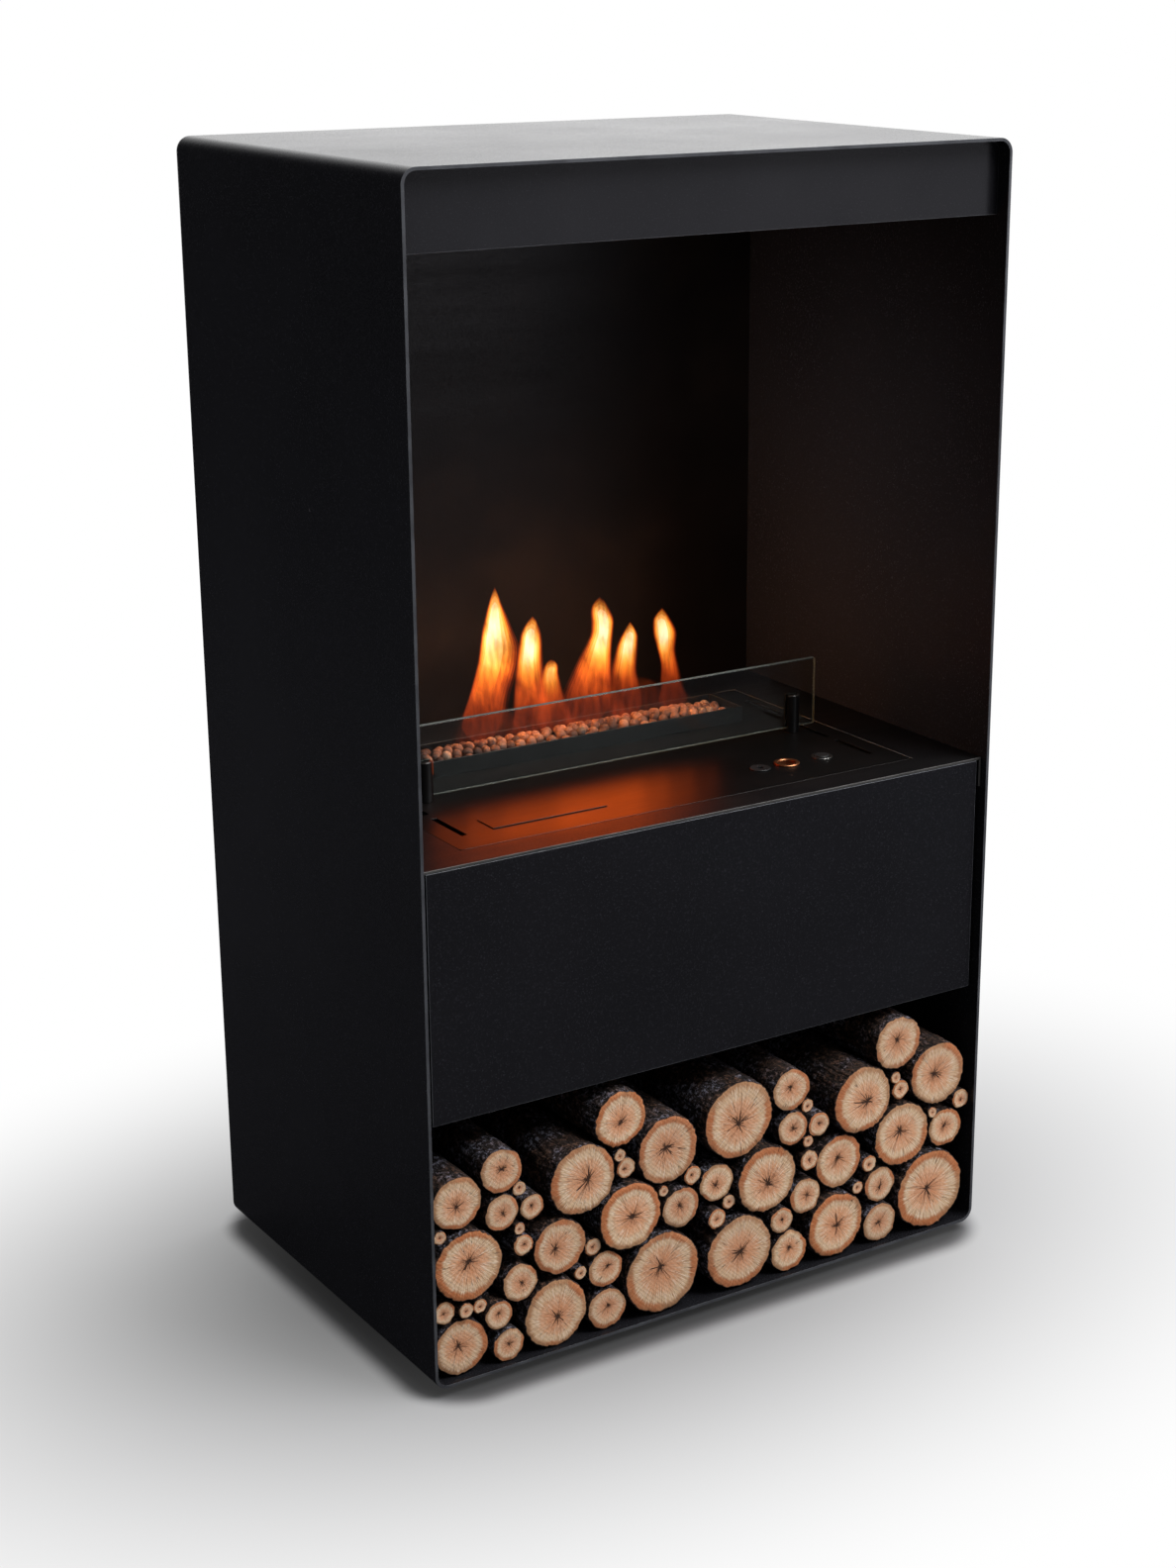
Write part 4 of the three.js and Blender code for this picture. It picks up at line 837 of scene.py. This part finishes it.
def screwTree(head, material):
    tree, g, given = newTree("screws", Size="Float", Seed="Int")
    points = g.add("GeometryNodeMeshToPoints", {}, {"Mesh": given})
    facing = g.add("GeometryNodeInputNamedAttribute", {"data_type": "FLOAT_VECTOR"}, {"Name": "facing"})
    aimed = g.add("FunctionNodeAlignRotationToVector", {"axis": "Z"}, {"Vector": facing})
    seed = given.also("Seed")
    spin = g.add("FunctionNodeRandomValue", {"data_type": "FLOAT"}, {2: 0.0, 3: 6.28, "Seed": seed}, 1)
    twist = g.add("FunctionNodeAxisAngleToRotation", {}, {"Axis": (0, 0, 1), "Angle": spin})
    turned = g.add("FunctionNodeRotateRotation", {"rotation_space": "LOCAL"}, {
        "Rotation": aimed, "Rotate By": twist})
    shape = g.add("GeometryNodeObjectInfo", {}, {"Object": head}).also("Geometry")
    placed = g.add("GeometryNodeInstanceOnPoints", {}, {
        "Points": points, "Instance": shape, "Rotation": turned, "Scale": given.also("Size")})
    real = g.add("GeometryNodeRealizeInstances", {}, {"Geometry": placed})
    done = g.add("GeometryNodeSetMaterial", {}, {"Geometry": real, "Material": material})
    g.add("NodeGroupOutput", {}, {0: done})
    return tree


def screwPlaces():  # for each body, its screws' places and facings
    edge, back = screwLook["edge"], (0, 1, 0)
    low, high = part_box("back_panel")
    panel = [((x, high.y, low.z + edge + (high.z - low.z - 2 * edge) * k / 5), back)
             for x in (low.x + edge, high.x - edge) for k in range(6)]
    panel += [((low.x + (high.x - low.x) * k / 4, high.y, z), back)
              for k in (1, 2, 3) for z in (low.z + edge, high.z - edge)]
    low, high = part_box("burner_housing")
    shell = [((low.x + (high.x - low.x) * k / 6, y, high.z - edge), (0, way, 0))
             for k in (1, 2, 4, 5) for y, way in ((low.y, -1), (high.y, 1))]
    shell += [((x, low.y + (high.y - low.y) * k / 3, high.z - edge), (way, 0, 0))
              for k in (1, 2) for x, way in ((low.x, -1), (high.x, 1))]
    return {"cabinet": panel, "burner": shell}


def makeScrews():
    head = screwHead()
    tree = screwTree(head, finishes["bare_steel"])
    for body, places in screwPlaces().items():
        base = bpy.data.meshes.new("screwPlaces")
        base.from_pydata([place for place, _ in places], [], [])
        paint(base, "facing", [way for _, way in places])
        values = {"Size": 1.0, "Seed": screwLook["seed"]}
        addPiece(body + "_screws", grown("screws", base, tree, values), body)
    bpy.data.objects.remove(head)


makeScrews()
print("screws made")

# ---- flames

# tip, left edge and right edge in millimetres, how blunt the tip is, where the bright core leans, how full it is
tongues = [
    ((-81.4, 687.7), [(-95.3, 639.3), (-99, 616.8), (-109.5, 585.6), (-123, 554.9)],
     [(-75.4, 668.9), (-56.9, 624.1), (-59.4, 605.2), (-70.9, 575.8), (-78.3, 534)], 0.15, -0.55, 1),
    ((-40.1, 652.7), [(-52.4, 635.3), (-57.9, 589.5), (-61.9, 558.8), (-66, 536)],
     [(-30.9, 630.3), (-30.1, 606.8), (-24, 575), (-18, 540)], 0.3, -0.3, 1),
    ((-19, 605.2), [(-28, 590), (-33, 566), (-38, 538)], [(-12.5, 598.5), (-4.6, 564.5), (6, 538)], 0.4, 0.2, 1),
    ((40.3, 661.2), [(32.8, 650.6), (32.5, 623.4), (15, 596.2), (-2.9, 565.8), (-12, 538)],
     [(56.4, 635.5), (51.6, 604.8), (51.3, 565.1), (50, 536)], 0.3, 0.45, 1),
    ((75, 631.1), [(60.8, 609.4), (52.6, 577.2), (46, 540)], [(82.5, 616.5), (81.3, 580.5), (87, 559.7), (90, 536)],
     0.15, 0.3, 0.85),
    ((116.1, 639.5), [(106.7, 628.7), (106.7, 611), (114.1, 579.5), (112.4, 550.9), (106, 534)],
     [(131.2, 613.4), (128.6, 594.1), (138, 552.3), (152.1, 534.1)], 0.15, -0.4, 0.9),
    ((-96, 574), [(-122, 560), (-132, 534)], [(-66, 560), (-52, 534)], 0.5, 0.5, 0.3),
    ((-30, 580), [(-60, 562), (-70, 534)], [(2, 562), (14, 534)], 0.5, -0.5, 0.3),
    ((30, 578), [(2, 562), (-8, 534)], [(62, 562), (74, 534)], 0.5, 0.4, 0.3),
    ((82, 572), [(56, 558), (46, 534)], [(112, 558), (126, 534)], 0.5, -0.5, 0.28),
]
# shells, from the outside in: width, first and last share of the height, cover, warmth
flameLook = {
    "foot": 531, "plane": 58, "sides": 20, "levels": 34, "thickness": 0.62, "sway": 2.2, "faint": 0.6,
    "faintVeils": 4, "footFade": (23.4, 77.4), "redFoot": (0.38, 0.7), "coolTip": (0.7, 1),
    "fullFoot": (0.3, 0.1), "fullTop": (0.45, 0.7), "lateVeil": 0.34,
    "shells": [(1.1, 0.0, 1.0, 0.007, 0.06), (1.0, 0.0, 0.995, 0.022, 0.2), (0.91, 0.0, 0.985, 0.036, 0.4),
               (0.8, 0.03, 0.97, 0.036, 0.6), (0.65, 0.08, 0.94, 0.03, 0.8), (0.46, 0.14, 0.9, 0.034, 1.0)]}


def ramped(value, first, last):  # 0 up to the first, 1 from the last
    return np.clip((value - first) / (last - first), 0, 1)


def edgeAt(edge, z, reach):  # a tongue's smoothed edge at these heights, and where its tip begins
    edge = sorted((z, x) for x, z in edge)
    line = np.interp(reach, [p[0] for p in edge], [p[1] for p in edge])
    kernel = np.array([1, 2, 3, 2, 1]) / 9
    for _ in range(2):
        line = np.convolve(np.pad(line, 2, "edge"), kernel, "valid")
    return np.interp(z, reach, line), edge[-2][0]


def tongueParts(tongue, shell, seed):
    tip, left, right, blunt, lean, share = tongue
    width, start, top, veil, heat = shell
    foot, crest = flameLook["foot"], tip[1]
    z = foot + (crest - foot) * np.linspace(start, top, flameLook["levels"])
    reach = np.linspace(foot, crest, 60)
    (leftX, leftTip), (rightX, rightTip) = (edgeAt(edge + [tip], z, reach) for edge in (left, right))
    shoulder = min(leftTip, rightTip)
    middle = (leftX + rightX) / 2
    half = (rightX - leftX) / 2 * np.clip((crest - z) / (crest - shoulder), 0.02, 1) ** -blunt
    height = (z - foot) / (crest - foot)
    middle = middle + half * (1 - width) * lean * np.sin(height * 2.6 + 0.6)
    span = np.linspace(0, 1, len(z))
    ends = np.sqrt(np.clip(np.minimum(span / 0.12, (1 - span) / 0.035), 0, 1))
    half = np.maximum(half * width * ends, 0.05)
    n = flameLook["sides"]
    angle = np.arange(n) / n * 2 * np.pi
    sway = flameLook["sway"] * np.sin(span * 5 + np.random.default_rng(seed).uniform(0, 6)) * span
    deep = np.minimum(half, 15) * flameLook["thickness"]
    x = middle[:, None] + half[:, None] * np.cos(angle)
    y = flameLook["plane"] + sway[:, None] + deep[:, None] * np.sin(angle)
    points = np.stack([x, y, z[:, None] + 0 * x], -1).reshape(-1, 3) / 1000
    low = ramped(z - foot, *flameLook["footFade"])  # the veils thin out towards the pebbles
    warmth = heat * (0.12 + 0.88 * low ** 0.8) * (1 - 0.15 * ramped(height, *flameLook["coolTip"]))
    warmth = warmth * (0.5 + 0.5 * ramped(height, *flameLook["redFoot"]))
    cover = veil * share * (0.1 + 0.9 * low ** 1.4) * np.clip((1.02 - height) * 6, 0.3, 1)
    cover = cover * (0.76 + 0.24 * ramped(height, *flameLook["fullFoot"])
                     + 0.06 * ramped(height, *flameLook["fullTop"]))
    if start > 0:
        cover = cover * ramped(span, 0, flameLook["lateVeil"]) ** 1.4
    if share < flameLook["faint"]:
        cover = cover * np.clip((1 - height) * 2.2, 0, 1) * 1.6
    faces = tube(len(z), n) + [list(range(n))[::-1], list(range((len(z) - 1) * n, len(z) * n))]
    return points, faces, np.repeat(warmth, n), np.repeat(cover, n)


def makeFlames():
    parts = []
    for number, tongue in enumerate(tongues):
        veils = len(flameLook["shells"]) if tongue[-1] > flameLook["faint"] else flameLook["faintVeils"]
        parts += [tongueParts(tongue, shell, 40 + number) for shell in flameLook["shells"][:veils]]
    points, faces, warmth, veil = gathered(parts)
    mesh = smoothMesh("flames", points, faces)
    paint(mesh, "warmth", warmth)
    paint(mesh, "veil", veil)
    mesh.materials.append(finishes["flame"])
    flames = addPiece("flames", mesh, "burner")
    flames.visible_shadow = flames.visible_glossy = False


makeFlames()
print("flames made")

# ---- studio

studioLook = {"air": 0.2, "darkSide": (-0.25, 0.2), "front": (-0.05, 0.05)}
# the floor is lit by the lamps near the cabinet, and plain white further off; the white fades in off-centre to the
# left as a painted soft shadow, and a painted contact shadow darkens the cabinet's foot
floorLook = {"size": 9, "lit": (114, 114, 116), "contactShadow": (58, 58, 59), "reflectedShade": (64, 64, 68), "left": 0.06,
             "half": (0.32, 0.22), "fade": 3.3, "inner": (0.27, 0.18), "contactShadowEdge": (0.044, 0.07),
             "contactShadowFade": (0.054, 0.078, 0.1, 1)}
# place, aim, size, power, colour, height where it isn't the size
lampLook = {
    "keyLight": ((1.5, -2.0, 3.3), (0, -0.1, 0.4), 1.8, 150),
    "topLight": ((0.9, 0.1, 3.0), (0, -0.1, 0), 1.8, 75),
    "backLight": ((1.9, 2.7, 1.6), (0, 0, 1.1), 3.2, 13),
    "sideLight": ((-3.2, 1.6, 1.1), (-0.1, 0, 0.55), 2.2, 34),
    "frontLight": ((1.62, -2.55, 0.78), (0, -0.2, 1.06), 1.8, 7, (0.93, 0.92, 1), 0.5),
    "wallLight": ((-0.27, -0.12, 0.9), (0.32, 0.02, 0.72), 0.2, 0.33, (1, 0.93, 0.88))}
# the flames' red glow on the plate, in strips: across, width, power
glowStrips = {"": (-0.02, 0.1, 0.06), "A": (0.045, 0.03, 0.0105), "B": (0.075, 0.03, 0.005),
              "C": (0.105, 0.03, 0.0016), "D": (-0.1, 0.06, 0.026), "E": (-0.15, 0.04, 0.012),
              "F": (-0.19, 0.04, 0.006)}
glowLook = {"along": -0.0375, "up": 0.568, "aim": (-1, 0.5), "depth": 0.056, "colour": (1, 0.12, 0.008)}
emberLook = {"across": (-0.08, 0.03, 0.12), "along": 0.058, "up": 0.6, "power": 0.7, "size": 0.02,
             "colour": (1, 0.36, 0.09)}


def lamp(name, place, aim, size, power, colour=(1, 1, 1), height=None):
    light = bpy.data.lights.new(name, "AREA")
    light.energy, light.size, light.color = power, size, colour
    if height:
        light.shape, light.size_y = "RECTANGLE", height
    holder = addObject(name, light)
    holder.location = place
    holder.rotation_euler = (Vector(aim) - Vector(place)).to_track_quat("-Z", "Y").to_euler()
    return holder


def ember(name, across):
    light = bpy.data.lights.new(name, "POINT")
    light.energy, light.shadow_soft_size, light.color = emberLook["power"], emberLook["size"], emberLook["colour"]
    holder = addObject(name, light)
    holder.location = (across, emberLook["along"], emberLook["up"])
    holder.visible_camera = holder.visible_glossy = holder.visible_transmission = False
    holder.parent = frame["bodies"]["burner"]


def makeAir():
    world = bpy.data.worlds.new("studioAir")
    scene.world = world
    world.use_nodes = True
    g = Graph(world.node_tree)
    path = g.add("LightPath", {}, {}, "Is Camera Ray")
    glossy, through = path.also("Is Glossy Ray"), path.also("Is Transmission Ray")
    way = g.add("SeparateXYZ", {}, {0: g.add("TexCoord", {}, {}, "Generated")})
    # the studio is dark on the left, as its reflection in the coat shows
    bright, ahead = g.step(way, *studioLook["darkSide"]), g.step(way.also("Y"), *studioLook["front"])
    seen = (path + (through + glossy * bright) * ahead).smaller(1)
    soft = (1 - glossy) * (1 - through) * studioLook["air"]
    air, white = (g.add("Background", {}, {"Color": (1, 1, 1, 1), "Strength": v}) for v in (soft, 1.0))
    g.close(g.blend(seen, air, white), "World")


def floorFinish():
    g, where = newFinish("studioFloor")
    spot = g.add("SeparateXYZ", {}, {0: where})
    (halfX, halfY), (innerX, innerY) = floorLook["half"], floorLook["inner"]
    aside, ahead = abs(spot + floorLook["left"]) / halfX, abs(spot.also("Y")) / halfY
    away = (aside * aside + ahead * ahead) ** 0.5  # one at the sides of the cabinet's foot
    pastEnd, pastFront = (abs(spot) - innerX).larger(0), (abs(spot.also("Y")) - innerY).larger(0)
    rim = (pastEnd * pastEnd + pastFront * pastFront) ** 0.5
    path = g.add("LightPath", {}, {}, "Is Camera Ray")
    # painted shade: the white share fades out towards the cabinet, off-centre to the left, and drops to a tenth at
    # its foot
    share = path * g.step(away, 0, floorLook["fade"]) * g.step(rim, *floorLook["contactShadowFade"])
    # painted contact shadow: a darker floor colour at the cabinet's foot
    ground = g.mix(g.step(rim, *floorLook["contactShadowEdge"]), floorLook["contactShadow"], floorLook["lit"])
    # reflections see a darker floor colour: painted shade in the reflections
    ground = g.mix(1 - path - path.also("Is Diffuse Ray"), ground, floorLook["reflectedShade"])
    matt = g.add("BsdfDiffuse", {}, {"Color": ground})
    white = g.add("Emission", {}, {"Color": (1, 1, 1, 1), "Strength": 1.0})
    return g.close(g.blend(share, matt, white))


def makeFloor():
    mesh = bpy.data.meshes.new("studioFloor")
    far = floorLook["size"]
    mesh.from_pydata([(-far, -far, 0), (far, -far, 0), (far, far, 0), (-far, far, 0)], [], [(0, 1, 2, 3)])
    mesh.materials.append(floorFinish())
    floor = addObject("studioFloor", mesh)


def makeLights():
    lamps = {name: lamp(name, *values) for name, values in lampLook.items()}
    lamps["backLight"].visible_camera = False
    lamps["wallLight"].data.spread = math.radians(70)
    for holder in (lamps["sideLight"], lamps["wallLight"]):
        holder.visible_camera = holder.visible_glossy = holder.visible_transmission = False
    for letter, (x, width, power) in glowStrips.items():
        glow = lamp("hearthGlow" + letter, (x, glowLook["along"], glowLook["up"]), (x, *glowLook["aim"]),
                    width, power, glowLook["colour"], glowLook["depth"])
        glow.visible_camera = glow.visible_transmission = False
        glow.parent = frame["bodies"]["burner"]
    for number, x in enumerate(emberLook["across"]):
        ember("glow%d" % number, x)


makeAir()
makeFloor()
makeLights()
print("studio lit")
